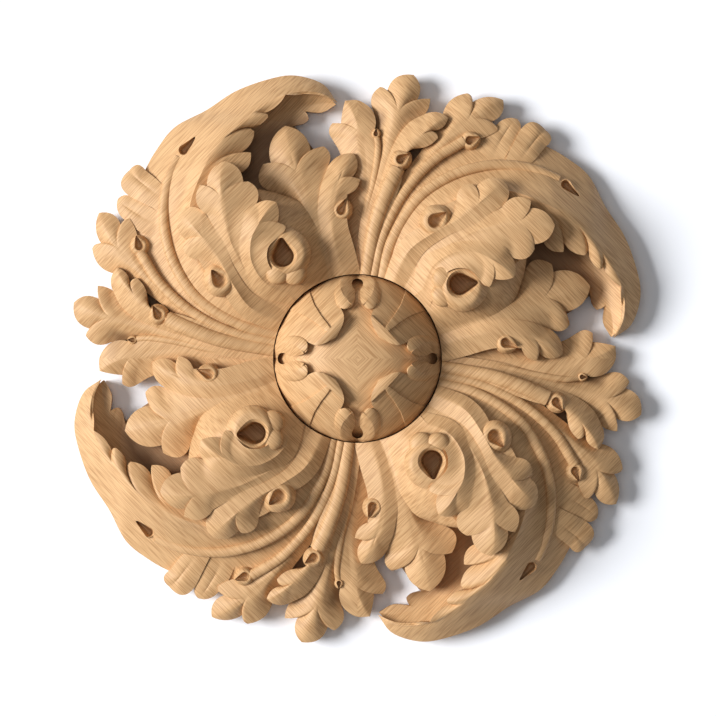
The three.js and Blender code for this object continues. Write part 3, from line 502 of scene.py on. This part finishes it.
def curve(points, steps=24):
    """A smooth path through the points."""
    ends = np.vstack([2 * points[0] - points[1], points, 2 * points[-1] - points[-2]])
    t = np.linspace(0, 1, steps, endpoint=False)[:, None]
    runs = []
    for a, b, c, d in zip(ends, ends[1:], ends[2:], ends[3:]):
        squared, cubed = 2 * a - 5 * b + 4 * c - d, 3 * b - a - 3 * c + d
        runs.append(0.5 * (2 * b + (c - a) * t + squared * t**2 + cubed * t**3))
    return np.vstack(runs + [points[-1:]])


def length(path):
    return np.linalg.norm(np.diff(path, axis=0), axis=1).sum()


def along(path, shares):
    """Points at shares of the path's length."""
    run = np.concatenate([[0], np.cumsum(np.linalg.norm(np.diff(path, axis=0), axis=1))])
    return np.stack([np.interp(shares, run / run[-1], path[:, k]) for k in range(3)], -1)


def heading(path, shares):
    """Which way the path runs at shares of its length."""
    after = along(path, np.minimum(shares + HEADING_STEP, 1))
    return after - along(path, np.maximum(shares - HEADING_STEP, 0))


def turned_by(point, angle):
    """A point turned round the centre."""
    c, s = np.cos(angle), np.sin(angle)
    return (point[0] * c - point[1] * s, point[0] * s + point[1] * c)


def circle(radius, height):
    angle = np.linspace(0, 2 * np.pi, CIRCLE_SIDES, endpoint=False)
    heights = np.full(CIRCLE_SIDES, height)
    return np.stack([radius * np.cos(angle), radius * np.sin(angle), heights], -1)


def loft(rings, folded=False):
    """A closed solid through rings of points. Where it is folded, its last ring is one line."""
    count, sides = len(rings), len(rings[0])
    ids = np.arange(count * sides).reshape(count, sides)
    if folded:
        ids[-1] = np.where(np.arange(sides) > sides // 2, ids[-1][::-1], ids[-1])
    faces = []
    for i in range(count - 1):
        for j in range(sides):
            k = (j + 1) % sides
            corners = [ids[i][j], ids[i][k], ids[i + 1][k], ids[i + 1][j]]
            faces.append([c for n, c in enumerate(corners) if c != corners[n - 1]])
    faces.append(list(ids[0][::-1]))
    if not folded:
        faces.append(list(ids[-1]))
    return np.vstack(rings), faces


def edge_rows(side, tip, outward, rows):
    """Points along a leaflet's edge, one for each row, and how deep in a notch each one is."""
    lobed = 1 if side["lobes"] else 0
    runs = [(marked(side["flow"], LEAF_SCALE), None, (0, lobed))]
    start = side["flow"][-1]
    for k, corner in enumerate(side["lobes"]):
        bulge = outward * (corner[3] if len(corner) > 3 else LOBE_BULGE)
        deep = (1, 0) if k % 2 == 0 else (0, 1)
        runs.append((marked([start, corner], LEAF_SCALE), bulge, deep))
        start = corner
    if isinstance(side["last"], list):
        runs.append((marked([start, *side["last"], tip], LEAF_SCALE), None, (lobed, 0)))
    else:
        runs.append((marked([start, tip], LEAF_SCALE), outward * side["last"], (lobed, 0)))
    paths = [curve(points) for points, _, _ in runs]
    lengths = [
        length(path) * (FLOW_SHARE if bulge is None else 1)
        for path, (_, bulge, _) in zip(paths, runs)
    ]
    ends = []
    for k, reached in enumerate(np.cumsum(lengths)):
        least = (ends[-1] if ends else 0) + 2 * ROW_STEPS
        most = rows - 2 * ROW_STEPS * (len(runs) - 1 - k)
        ends.append(int(min(most, max(least, round(rows * reached / sum(lengths))))))
    ends[-1] = rows
    points, notches = [paths[0][:1]], [np.zeros(1)]
    for k, (path, (corners, bulge, deep)) in enumerate(zip(paths, runs)):
        steps = ends[k] - (ends[k - 1] if k else 0)
        f = np.arange(1, steps + 1) / steps
        run = along(path, f)
        if bulge is not None:
            across = corners[1] - corners[0]
            push = bulge * 4 * f * (1 - f)
            run[:, 0] -= across[1] * push
            run[:, 1] += across[0] * push
        if deep[0] > deep[1]:
            notch = 1 - np.sin(QUARTER_TURN * f)
        elif deep[1] > deep[0]:
            notch = 1 - np.cos(QUARTER_TURN * f)
        else:
            notch = 0 * f
        points.append(run)
        notches.append(notch**4 if k == 0 else notch)
    return np.vstack(points), np.concatenate(notches)


def stations(spine, left, right):
    """Where each row leaves the spine: beside its edge points, and always onwards."""
    samples = along(spine, np.linspace(0, 1, SPINE_PARTS + 1))[:, :2]

    def nearest(edge):
        apart = np.linalg.norm(edge[:, None, :2] - samples[None], axis=2)
        return apart.argmin(1) / SPINE_PARTS

    beside = (nearest(left) + nearest(right)) / 2 * SPINE_LAG
    rows = len(left) - 1
    found = [0.0]
    for i in range(1, rows + 1):
        found.append(max(found[-1] + LEAST_STEP / rows, beside[i]))
    padded = np.pad(np.array(found), ROW_STEPS, mode="reflect", reflect_type="odd")
    window = 2 * ROW_STEPS + 1
    blurred = np.convolve(padded, np.ones(window) / window, "valid")
    return (blurred - blurred[0]) / (blurred[-1] - blurred[0])


def leaflet(form):
    """Curved ribs that leave a leaflet's spine and end on its lobed edge."""
    rows = form["rows"] * ROW_STEPS
    spine = curve(marked(form["spine"], LEAF_SCALE))
    left, left_notch = edge_rows(form["left"], form["tip"], 1, rows)
    right, right_notch = edge_rows(form["right"], form["tip"], -1, rows)
    leaves = stations(spine, left, right)
    starts = along(spine, leaves)
    onwards = heading(spine, leaves)
    onwards /= np.linalg.norm(onwards, axis=1)[:, None]
    shares = np.linspace(0, 1, COLUMNS + 1)
    rings = []
    for i in range(rows + 1):
        start, onward = starts[i], onwards[i]
        sweep = FULL_SWEEP * smoothstep(i / rows, 0, SWEPT_BY)

        def rib(edge, notch, share, side):
            share = np.atleast_1d(share)[:, None]
            reach = np.hypot(*(edge - start)[:2])
            control = start + onward * reach * sweep + (1 - sweep) * 0.5 * (edge - start)
            points = (1 - share) ** 2 * start + 2 * share * (1 - share) * control + share**2 * edge
            points[:, 2] = start[2] + (edge[2] - start[2]) * share[:, 0] ** side.get("round", ROUND)
            depth = side.get("valley", form["valley"]) * HEIGHT_SCALE * notch
            points[:, 2] -= depth * smoothstep(share[:, 0], side.get("crease", CREASE), 1)
            return points

        ring = []
        sides = (
            (left[i], left_notch[i], -1, form["left"]),
            (right[i], right_notch[i], 1, form["right"]),
        )
        for edge, notch, order, side in sides:
            reach = np.hypot(*(edge - start)[:2])
            undercut = form.get("undercut", INNER_UNDERCUT) / max(reach, 1)
            back = min(undercut, MOST_UNDERCUT) if i else 0
            top = rib(edge, notch, shares if order > 0 else shares[:0:-1], side)
            foot = rib(edge, notch, 1 - back, side)
            foot[:, 2] = 0
            brim = top[-1:] if order > 0 else top[:1]
            brim = brim - (0, 0, min(EDGE_THICKNESS, 0.5 * brim[0, 2]))
            ring += [top, brim, foot] if order > 0 else [foot, brim, top]
        rings.append(np.vstack(ring))
    return loft(rings, folded=True)


def pipe(form):
    """A round pipe along a path, as wide as its two widths say."""
    path = curve(marked(form["path"], LEAF_SCALE))
    t = np.linspace(0, 1, PIPE_ROWS + 1)
    at = along(path, t)
    onward = heading(path, t)
    onward[:, 2] = 0
    onward /= np.linalg.norm(onward, axis=1)[:, None]
    across = np.stack([onward[:, 1], -onward[:, 0], 0 * t], -1)
    first, last = form["width"]
    half = (first + (last - first) * t)[:, None] * LEAF_SCALE
    angle = np.linspace(-QUARTER_TURN, QUARTER_TURN, 2 * PIPE_COLUMNS + 1)[:, None]
    rings = []
    for k in range(PIPE_ROWS + 1):
        ring = at[k] + across[k] * np.sin(angle) * half[k]
        ring[:, 2] = at[k, 2] - half[k] * PIPE_FLATNESS * (1 - np.cos(angle[:, 0]))
        feet = at[k] + across[k] * half[k] * np.array([[1.0], [-1.0]])
        feet[:, 2] = 0
        rings.append(np.vstack([ring, feet]))
    return loft(rings)


def tear(eye, grow, height):
    """The outline of an eye: round at one end and drawn out to a point at the other.

    The more it is grown, the rounder it is.
    """
    at = np.array(eye["at"]) * LEAF_SCALE
    axis = np.array(eye["point"]) * LEAF_SCALE - at
    radius = eye["radius"] * LEAF_SCALE + grow
    drawn = max(0, 1 - max(0, grow) / (eye["rim"] * LEAF_SCALE))
    reach = radius * TEAR["long"] * (1 - drawn) + np.hypot(*axis) * drawn
    axis = axis / np.hypot(*axis)
    angle = np.linspace(0, 2 * np.pi, TEAR["sides"], endpoint=False)
    forward = np.maximum(0, np.cos(angle))
    ahead = radius * np.cos(angle) + (reach - radius) * forward ** TEAR["point_power"]
    aside = radius * np.sin(angle) * (1 - TEAR["waist"] * drawn * forward**2)
    x = at[0] + axis[0] * ahead - axis[1] * aside
    y = at[1] + axis[1] * ahead + axis[0] * aside
    return np.stack([x, y, np.full(TEAR["sides"], height * HEIGHT_SCALE)], -1)


def eye_rim(eye):
    """A soft roll round an eye, highest close to the hole."""
    rim, top = eye["rim"] * LEAF_SCALE, eye["rim_height"]
    lean = eye.get("lean", (0, 0))
    eye = dict(eye, at=(eye["at"][0] + lean[0], eye["at"][1] + lean[1]))
    rings = [tear(eye, rim, 0), tear(eye, rim, top - RIM_DROP)]
    for t in np.linspace(0.08, 1, 8):
        drop = RIM_DROP * (1 - np.sin(QUARTER_TURN * t)) ** RIM_ROUND
        rings.append(tear(eye, rim * (1 - RIM_INWARD * t), top - drop))
    return loft(rings)


def eye_pocket(eye):
    """The hole of an eye, with a rounded lip."""
    radius, lip = eye["radius"] * LEAF_SCALE, POCKET_LIP
    low, high = eye["floor"], eye["rim_height"]
    rings = [tear(eye, share * radius, low + lift) for share, lift in POCKET]
    for t in np.linspace(0, 1, 6):
        opened = lip["inside"] * radius + lip["flare"] * radius * (1 - np.cos(QUARTER_TURN * t))
        rings.append(tear(eye, opened, high - lip["depth"] + lip["climb"] * t))
    return loft(rings + [tear(eye, lip["flare"] * radius, high + lip["above"])])


def collar_lobe(at, radius, height):
    """A low round mound."""
    angle = np.linspace(0, 2 * np.pi, LOBE["sides"], endpoint=False)
    levels = [(LOBE["foot"], 0)]
    for a in np.linspace(0, LOBE["top"], 7):
        levels.append((np.cos(a), height - LOBE["drop"] * (1 - np.sin(a))))
    rings = []
    for share, z in levels:
        x, y = np.cos(angle) * radius * share, np.sin(angle) * radius * share
        rings.append(marked([(at[0] + p, at[1] + q, z) for p, q in zip(x, y)], LEAF_SCALE))
    return loft(rings)


def web():
    """The ground that joins the leaflets, round all four leaves."""
    outline = [turned_by(point, -k * QUARTER_TURN) for k in range(LEAVES) for point in WEB]
    closed = np.array([(x, y, 0) for x, y in outline[::-1]])
    smooth = curve(np.vstack([closed, closed[:1]]), 3)[:-1]
    return loft([
        marked([(x * share, y * share, z) for x, y, _ in smooth], LEAF_SCALE)
        for share, z in WEB_PROFILE
    ])


def cylinder(radius, low, high):
    return loft([circle(radius, low), circle(radius, high)])


def turned(profile, foot):
    """A turned solid of the button from (radius, height), standing on a flat foot."""
    outline = curve(marked([(r, 0, z) for r, z in profile[::-1]], BUTTON_SCALE), 4)
    outline = np.vstack([[outline[0, 0], 0, foot], outline])
    return loft([circle(r, z) for r, _, z in outline if r > THINNEST])


def dome_height(x, y):
    """The height of the button's dome, in marks."""
    return np.interp(np.hypot(x, y), [r for r, _ in DOME], [h for _, h in DOME])


def opening():
    """The four-armed hole in the dome, straight through."""
    half = []
    for run in OPENING:
        half += curve(np.array([(x, y, 0) for x, y in run]), 6)[:-1, :2].tolist()
    half.append(OPENING[-1][-1])
    quarter = half[:-1] + [(y, x) for x, y in half[:0:-1]]
    outline = [turned_by(point, -k * QUARTER_TURN) for k in range(LEAVES) for point in quarter]
    return loft([
        marked([(x, y, z) for x, y in outline], BUTTON_SCALE) for z in (BELOW_FIELD, ABOVE_ALL)
    ])


def spread(pairs, steps):
    """Pairs of numbers at even steps through a list of them."""
    places = np.linspace(0, len(pairs) - 1, steps)
    return zip(*(np.interp(places, range(len(pairs)), [p[k] for p in pairs]) for k in (0, 1)))


def lip_rise(_):
    """How far lips and veins stand above the dome: the same all along."""
    return LIP["rise"]


def ear_rise(x):
    """How far the ears stand above the dome, along their slot."""
    return np.interp(x, [p for p, _ in EAR_RISE], [h for _, h in EAR_RISE])


def ribbon(outline, turn, rise, steps):
    """What is raised above the dome between two mirrored lines, with crisp sides."""
    rings = []
    for x, half in spread(outline, steps):
        ring = []
        for share, lift in RIBBON:
            point = turned_by((x, share * half), turn)
            height = BELOW_DOME if lift is None else dome_height(*point) + rise(x) * lift
            ring.append((*point, height))
        rings.append(marked(ring, BUTTON_SCALE))
    return loft(rings)


def volute(turn, side):
    """The swell of a rolled ear over the dome, at one side of a slot."""
    angle = np.linspace(0, 2 * np.pi, VOLUTE["sides"], endpoint=False)
    levels = [(1, None)]
    for share in np.linspace(1, VOLUTE["middle"], 9):
        levels.append((share, np.sqrt(1 - share * share) - VOLUTE["sunk"]))
    rings = []
    for share, lift in levels:
        ring = []
        for a in angle:
            x = VOLUTE["along"] + VOLUTE["length"] * share * np.cos(a)
            y = side * VOLUTE["aside"] + VOLUTE["width"] * share * np.sin(a)
            point = turned_by((x, y), turn)
            height = BELOW_DOME if lift is None else dome_height(*point) + VOLUTE["rise"] * lift
            ring.append((*point, height))
        rings.append(marked(ring, BUTTON_SCALE))
    return loft(rings)


def lip_cut(turn):
    """What is cut away over a petal's lip, so that it rolls down to the opening."""
    rings = []
    for x in [LIP["start"] + LIP["behind"], *np.linspace(LIP["start"], LIP["end"], 9)]:
        rolled = max(0, (LIP["start"] - x) / LIP["reach"])
        lift = LIP["rise"] + (LIP["clear"] if x > LIP["start"] else LIP["into"])
        ring = []
        for y in np.linspace(-LIP["half"], LIP["half"], 15):
            height = dome_height(x, y) + lift - LIP["drop"] * rolled ** LIP["roundness"]
            ring.append((*turned_by((x, y), turn), height))
        for y in (LIP["half"], -LIP["half"]):
            ring.append((*turned_by((x, y), turn), ABOVE_ALL))
        rings.append(marked(ring, BUTTON_SCALE))
    return loft(rings)


def ear_cut(turn):
    """What is cut away over the ears, so that they roll down into the slot."""
    rings, widest = [], EAR_ROLL["share"]
    for x, half in spread(EARS, 34):
        ring = []
        for share in np.linspace(-widest, widest, 13):
            point = turned_by((x, share * half), turn)
            drop = EAR_ROLL["drop"] * (1 - abs(share) / widest) ** EAR_ROLL["roundness"]
            ring.append((*point, dome_height(*point) + ear_rise(x) - drop))
        for y in (half * widest, -half * widest):
            ring.append((*turned_by((x, y), turn), ABOVE_ALL))
        rings.append(marked(ring, BUTTON_SCALE))
    return loft(rings)


def placed(name, data):
    """A new object in the scene."""
    made = bpy.data.objects.new(name, data)
    bpy.context.scene.collection.objects.link(made)
    return made


def mesh_of(name, shape):
    """A mesh, still in millimetres, with its faces outward."""
    points, faces = shape
    made = bpy.data.meshes.new(name)
    made.from_pydata(points.tolist(), [], [list(map(int, face)) for face in faces])
    work = bmesh.new()
    work.from_mesh(made)
    loose = [v for v in work.verts if not v.link_faces]
    bmesh.ops.delete(work, geom=loose, context="VERTS")
    bmesh.ops.triangulate(work, faces=[f for f in work.faces if len(f.verts) > 4])
    bmesh.ops.recalc_face_normals(work, faces=work.faces)
    if work.calc_volume(signed=True) < 0:
        bmesh.ops.reverse_faces(work, faces=work.faces)
    work.to_mesh(made)
    work.free()
    return placed(name, made)


def plain(used):
    """The object's evaluated mesh in place of its modifiers."""
    evaluated = used.evaluated_get(bpy.context.evaluated_depsgraph_get())
    result = bpy.data.meshes.new_from_object(evaluated)
    used.modifiers.clear()
    used.data = result
    return used


def combined(used, others, operation="UNION"):
    """The object joined with the others, cut by them or kept inside them."""
    for other in others:
        step = used.modifiers.new("cut", "BOOLEAN")
        step.operation = operation
        step.solver = "MANIFOLD"
        step.object = other
    plain(used)
    for other in others:
        bpy.data.objects.remove(other)
    return used


def repeat_tree(name):
    """Copies of a solid turned round the centre and joined into one."""
    tree = bpy.data.node_groups.new(name, "GeometryNodeTree")
    tree.interface.new_socket("Geometry", in_out="INPUT", socket_type="NodeSocketGeometry")
    count = tree.interface.new_socket("Copies", in_out="INPUT", socket_type="NodeSocketInt")
    count.default_value = LEAVES
    tree.interface.new_socket("Material", in_out="INPUT", socket_type="NodeSocketMaterial")
    tree.interface.new_socket("Geometry", in_out="OUTPUT", socket_type="NodeSocketGeometry")
    node, link = tree.nodes.new, tree.links.new
    given, result = node("NodeGroupInput"), node("NodeGroupOutput")
    points = node("GeometryNodePoints")
    link(given.outputs["Copies"], points.inputs["Count"])
    index = node("GeometryNodeInputIndex")
    share = node("ShaderNodeMath")
    share.operation = "DIVIDE"
    link(index.outputs[0], share.inputs[0])
    link(given.outputs["Copies"], share.inputs[1])
    angle = node("ShaderNodeMath")
    angle.operation = "MULTIPLY"
    angle.inputs[1].default_value = 2 * np.pi
    link(share.outputs[0], angle.inputs[0])
    turn = node("ShaderNodeCombineXYZ")
    link(angle.outputs[0], turn.inputs["Z"])
    copies = node("GeometryNodeInstanceOnPoints")
    link(points.outputs[0], copies.inputs["Points"])
    link(given.outputs["Geometry"], copies.inputs["Instance"])
    link(turn.outputs[0], copies.inputs["Rotation"])
    join = node("GeometryNodeMeshBoolean")
    join.operation = "UNION"
    join.solver = "MANIFOLD"
    link(copies.outputs[0], join.inputs["Mesh 2"])
    real = node("GeometryNodeRealizeInstances")
    link(join.outputs[0], real.inputs[0])
    paint = node("GeometryNodeSetMaterial")
    link(real.outputs[0], paint.inputs[0])
    link(given.outputs["Material"], paint.inputs["Material"])
    link(paint.outputs[0], result.inputs[0])
    return tree


def repeated(used, tree, copies, material):
    """The object copied round the centre, as a plain mesh."""
    step = used.modifiers.new("repeat", "NODES")
    step.node_group = tree
    items = tree.interface.items_tree
    sockets = {item.name: item.identifier for item in items if item.in_out == "INPUT"}
    step[sockets["Copies"]] = copies
    step[sockets["Material"]] = material
    return plain(used)


def fill_in(node, values):
    """Gives inputs of a material their values, by name."""
    for name, value in values.items():
        node.inputs[name].default_value = value


def wood_material():
    """Light wood. Its fibres run square to each leaf's quarter line, so they meet on the axes."""
    made = bpy.data.materials.new("carved_wood")
    made.use_nodes = True
    nodes, link = made.node_tree.nodes, made.node_tree.links.new
    shader = nodes["Principled BSDF"]
    fill_in(shader, {"Roughness": 0.55, "Specular IOR Level": 0.35})
    place = nodes.new("ShaderNodeTexCoord")
    split = nodes.new("ShaderNodeSeparateXYZ")
    link(place.outputs["Object"], split.inputs[0])
    x, y, z = (split.outputs[axis] for axis in "XYZ")

    def maths(kind, *values):
        made_node = nodes.new("ShaderNodeMath")
        made_node.operation = kind
        for k, value in enumerate(values):
            if hasattr(value, "is_linked"):
                link(value, made_node.inputs[k])
            else:
                made_node.inputs[k].default_value = value
        return made_node.outputs[0]

    far_x, far_y = maths("ABSOLUTE", x), maths("ABSOLUTE", y)
    across = maths("ADD", far_x, far_y)
    lengthwise = maths("SUBTRACT", far_x, far_y)
    side_x, side_y = maths("SIGN", x), maths("SIGN", y)
    board = maths("ADD", side_x, maths("MULTIPLY", side_y, 2.0))

    def fibres(across_scale, length_scale, detail, seed):
        """Noise drawn out along the fibres, and another part of it for each of four boards."""
        place_node = nodes.new("ShaderNodeCombineXYZ")
        link(maths("MULTIPLY", across, across_scale), place_node.inputs[0])
        link(maths("MULTIPLY", lengthwise, length_scale), place_node.inputs[1])
        upward = maths("MULTIPLY", z, across_scale * 0.1)
        shift = maths("MULTIPLY", board, 7.3 + seed)
        link(maths("ADD", upward, shift), place_node.inputs[2])
        noise = nodes.new("ShaderNodeTexNoise")
        fill_in(noise, {"Scale": 1.0, "Detail": detail, "Roughness": 0.6})
        link(place_node.outputs[0], noise.inputs["Vector"])
        return noise.outputs["Fac"]

    fine = fibres(2200.0, 60.0, 0.0, 0.0)
    broad = fibres(300.0, 30.0, 2.0, 3.1)
    tone = nodes.new("ShaderNodeValToRGB")
    dark, light = tone.color_ramp.elements
    dark.position, dark.color = 0.33, DARK_WOOD
    light.position, light.color = 0.6, LIGHT_WOOD
    link(maths("ADD", maths("MULTIPLY", fine, 0.78), maths("MULTIPLY", broad, 0.22)), tone.inputs[0])

    def falling(value, full, none):
        """One up to the first value, and none from the second on."""
        fade = nodes.new("ShaderNodeMapRange")
        fade.interpolation_type = "SMOOTHSTEP"
        link(value, fade.inputs["Value"])
        fill_in(fade, {"From Min": full, "From Max": none, "To Min": 1.0, "To Max": 0.0})
        return fade.outputs["Result"]

    # Painted shade: the deep ground under each hood is mixed towards dark brown, as if in shadow
    squares = maths("MULTIPLY", far_x, far_x), maths("MULTIPLY", far_y, far_y)
    radius = maths("SQRT", maths("ADD", *squares))
    turn = maths("FLOORED_MODULO", maths("ARCTAN2", y, x), QUARTER_TURN)
    under_hood = maths("SUBTRACT", 1.0, falling(turn, *GROUND_ANGLE))
    deep = maths("MULTIPLY", falling(z, *GROUND_TOP), falling(radius, *GROUND_RADIUS))
    above_back = maths("SUBTRACT", 1.0, falling(z, *GROUND_FOOT))
    ground = maths("MULTIPLY", maths("MULTIPLY", deep, under_hood), above_back)
    painted_shade = nodes.new("ShaderNodeMix")
    painted_shade.data_type = "RGBA"
    link(maths("MULTIPLY", ground, PAINTED_SHADE_SHARE), painted_shade.inputs["Factor"])
    link(tone.outputs[0], painted_shade.inputs["A"])
    painted_shade.inputs["B"].default_value = PAINTED_SHADE_WOOD
    link(painted_shade.outputs["Result"], shader.inputs["Base Color"])
    bump = nodes.new("ShaderNodeBump")
    fill_in(bump, {"Strength": 0.15, "Distance": 0.0004})
    link(fine, bump.inputs["Height"])
    link(bump.outputs[0], shader.inputs["Normal"])
    return made


def tidied(work):
    """The mesh with doubles merged, and closed again where that leaves flaps and slits."""
    for _ in range(2):
        bmesh.ops.remove_doubles(work, verts=work.verts, dist=DOUBLE)
        bmesh.ops.dissolve_degenerate(work, edges=work.edges, dist=DOUBLE)
        met = {}
        for face in work.faces:
            met.setdefault(frozenset(face.verts), []).append(face)
        flaps = [face for same in met.values() if len(same) > 1 for face in same]
        bmesh.ops.delete(work, geom=flaps, context="FACES")
        bare = [edge for edge in work.edges if not edge.link_faces]
        bmesh.ops.delete(work, geom=bare, context="EDGES")
        slits = [edge for edge in work.edges if len(edge.link_faces) == 1]
        bmesh.ops.holes_fill(work, edges=slits, sides=0)
        loose = [corner for corner in work.verts if not corner.link_faces]
        bmesh.ops.delete(work, geom=loose, context="VERTS")


def finished(used, name, node, material):
    """The solid in metres, with doubles merged, crisp at its cut edges and smooth between."""
    work = bmesh.new()
    work.from_mesh(used.data)
    tidied(work)
    bmesh.ops.scale(work, vec=(MILLIMETRE, MILLIMETRE, MILLIMETRE), verts=work.verts)
    work.to_mesh(used.data)
    work.free()
    used.name = used.data.name = name
    used.data.materials.clear()
    used.data.materials.append(material)
    used.data.polygons.foreach_set("use_smooth", [True] * len(used.data.polygons))
    used.data.set_sharp_from_angle(angle=SHARP_ANGLE)
    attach(used, "root")
    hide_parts(node)


wood = wood_material()
four_times = repeat_tree("four_round_the_centre")

# The ring of leaves
solids = [mesh_of(name, leaflet(form)) for name, form in LEAFLETS.items()]
solids += [mesh_of(name, pipe(form)) for name, form in PIPES.items()]
solids += [mesh_of(name, eye_rim(eye)) for name, eye in EYES.items()]
solids += [mesh_of("collar", collar_lobe(*lobe)) for lobe in COLLAR_LOBES]
leaf = combined(solids[0], solids[1:])
leaf = repeated(leaf, four_times, LEAVES, wood)
pockets = [mesh_of(name, eye_pocket(eye)) for name, eye in EYES.items()]
pockets = repeated(combined(pockets[0], pockets[1:]), four_times, LEAVES, wood)
ring = combined(leaf, [mesh_of("web", web())])
seat = cylinder(BUTTON_RADIUS + BUTTON_CLEARANCE, SEAT_HEIGHT, 2 * RELIEF_HEIGHT)
ring = combined(ring, [pockets, mesh_of("seat", seat)], "DIFFERENCE")
finished(ring, "leaf_ring_carved", "leaf_ring", wood)

# The button
foot = SEAT_HEIGHT + SEAT_CLEARANCE
slot_turns = [k * QUARTER_TURN for k in range(LEAVES)]
petal_turns = [QUARTER_TURN / 2 + turn for turn in slot_turns]
button = mesh_of("dome", turned(DOME, foot))
raised = [mesh_of("vein", ribbon(RAISED, turn, lip_rise, 61)) for turn in petal_turns]
raised += [mesh_of("ears", ribbon(EARS, turn, ear_rise, 45)) for turn in slot_turns]
raised += [mesh_of("volute", volute(turn, side)) for turn in slot_turns for side in (-1, 1)]
button = combined(button, raised)
cuts = [mesh_of("opening", opening())] + [mesh_of("lip", lip_cut(turn)) for turn in petal_turns]
cuts += [mesh_of("ear", ear_cut(turn)) for turn in slot_turns]
limit = mesh_of("limit", cylinder(BUTTON_RADIUS, foot, 2 * RELIEF_HEIGHT))
button = combined(button, [limit], "INTERSECT")
button = combined(button, cuts, "DIFFERENCE")
button = combined(button, [mesh_of("field", turned(FIELD_PROFILE, foot))])
finished(button, "button_carved", "centre_button", wood)

# A pale floor just below the back
FLOOR_SIZE = 6
FLOOR_HEIGHT = -0.0006
floor_material = bpy.data.materials.new("pale_floor")
floor_material.use_nodes = True
floor_shader = floor_material.node_tree.nodes["Principled BSDF"]
fill_in(floor_shader, {"Base Color": (0.93, 0.95, 1.0, 1), "Roughness": 0.9})
bpy.ops.mesh.primitive_plane_add(size=FLOOR_SIZE, location=(0, 0, FLOOR_HEIGHT))
floor = bpy.context.object
floor.name = "floor"
floor.data.materials.append(floor_material)

# Soft light from the left, with a fill from above
LIGHT_FROM = (-1.0, 0.07, 0.75)
FILL_FROM = (-0.3, 0.2, 2.2)
key = placed("key", bpy.data.lights.new("key", "SUN"))
key.data.energy = 4.6
key.data.angle = 0.5
key.rotation_euler = Vector(LIGHT_FROM).to_track_quat("Z", "Y").to_euler()
fill = placed("fill", bpy.data.lights.new("fill", "AREA"))
fill.data.size = 1.2
fill.data.energy = 6.7
fill.location = FILL_FROM
fill.rotation_euler = Vector(FILL_FROM).to_track_quat("Z", "Y").to_euler()
world = bpy.data.worlds.new("studio")
world.use_nodes = True
fill_in(world.node_tree.nodes["Background"], {"Color": (0.92, 0.96, 1, 1), "Strength": 0.15})
bpy.context.scene.world = world
bpy.context.scene.view_settings.view_transform = "Standard"

# The view from straight above
CAMERA_AT = (0.00025, 0.00025, 1.978)
camera = placed("camera", bpy.data.cameras.new("camera"))
camera.data.lens = 200
camera.data.sensor_width = 36
camera.location = CAMERA_AT
bpy.context.scene.camera = camera
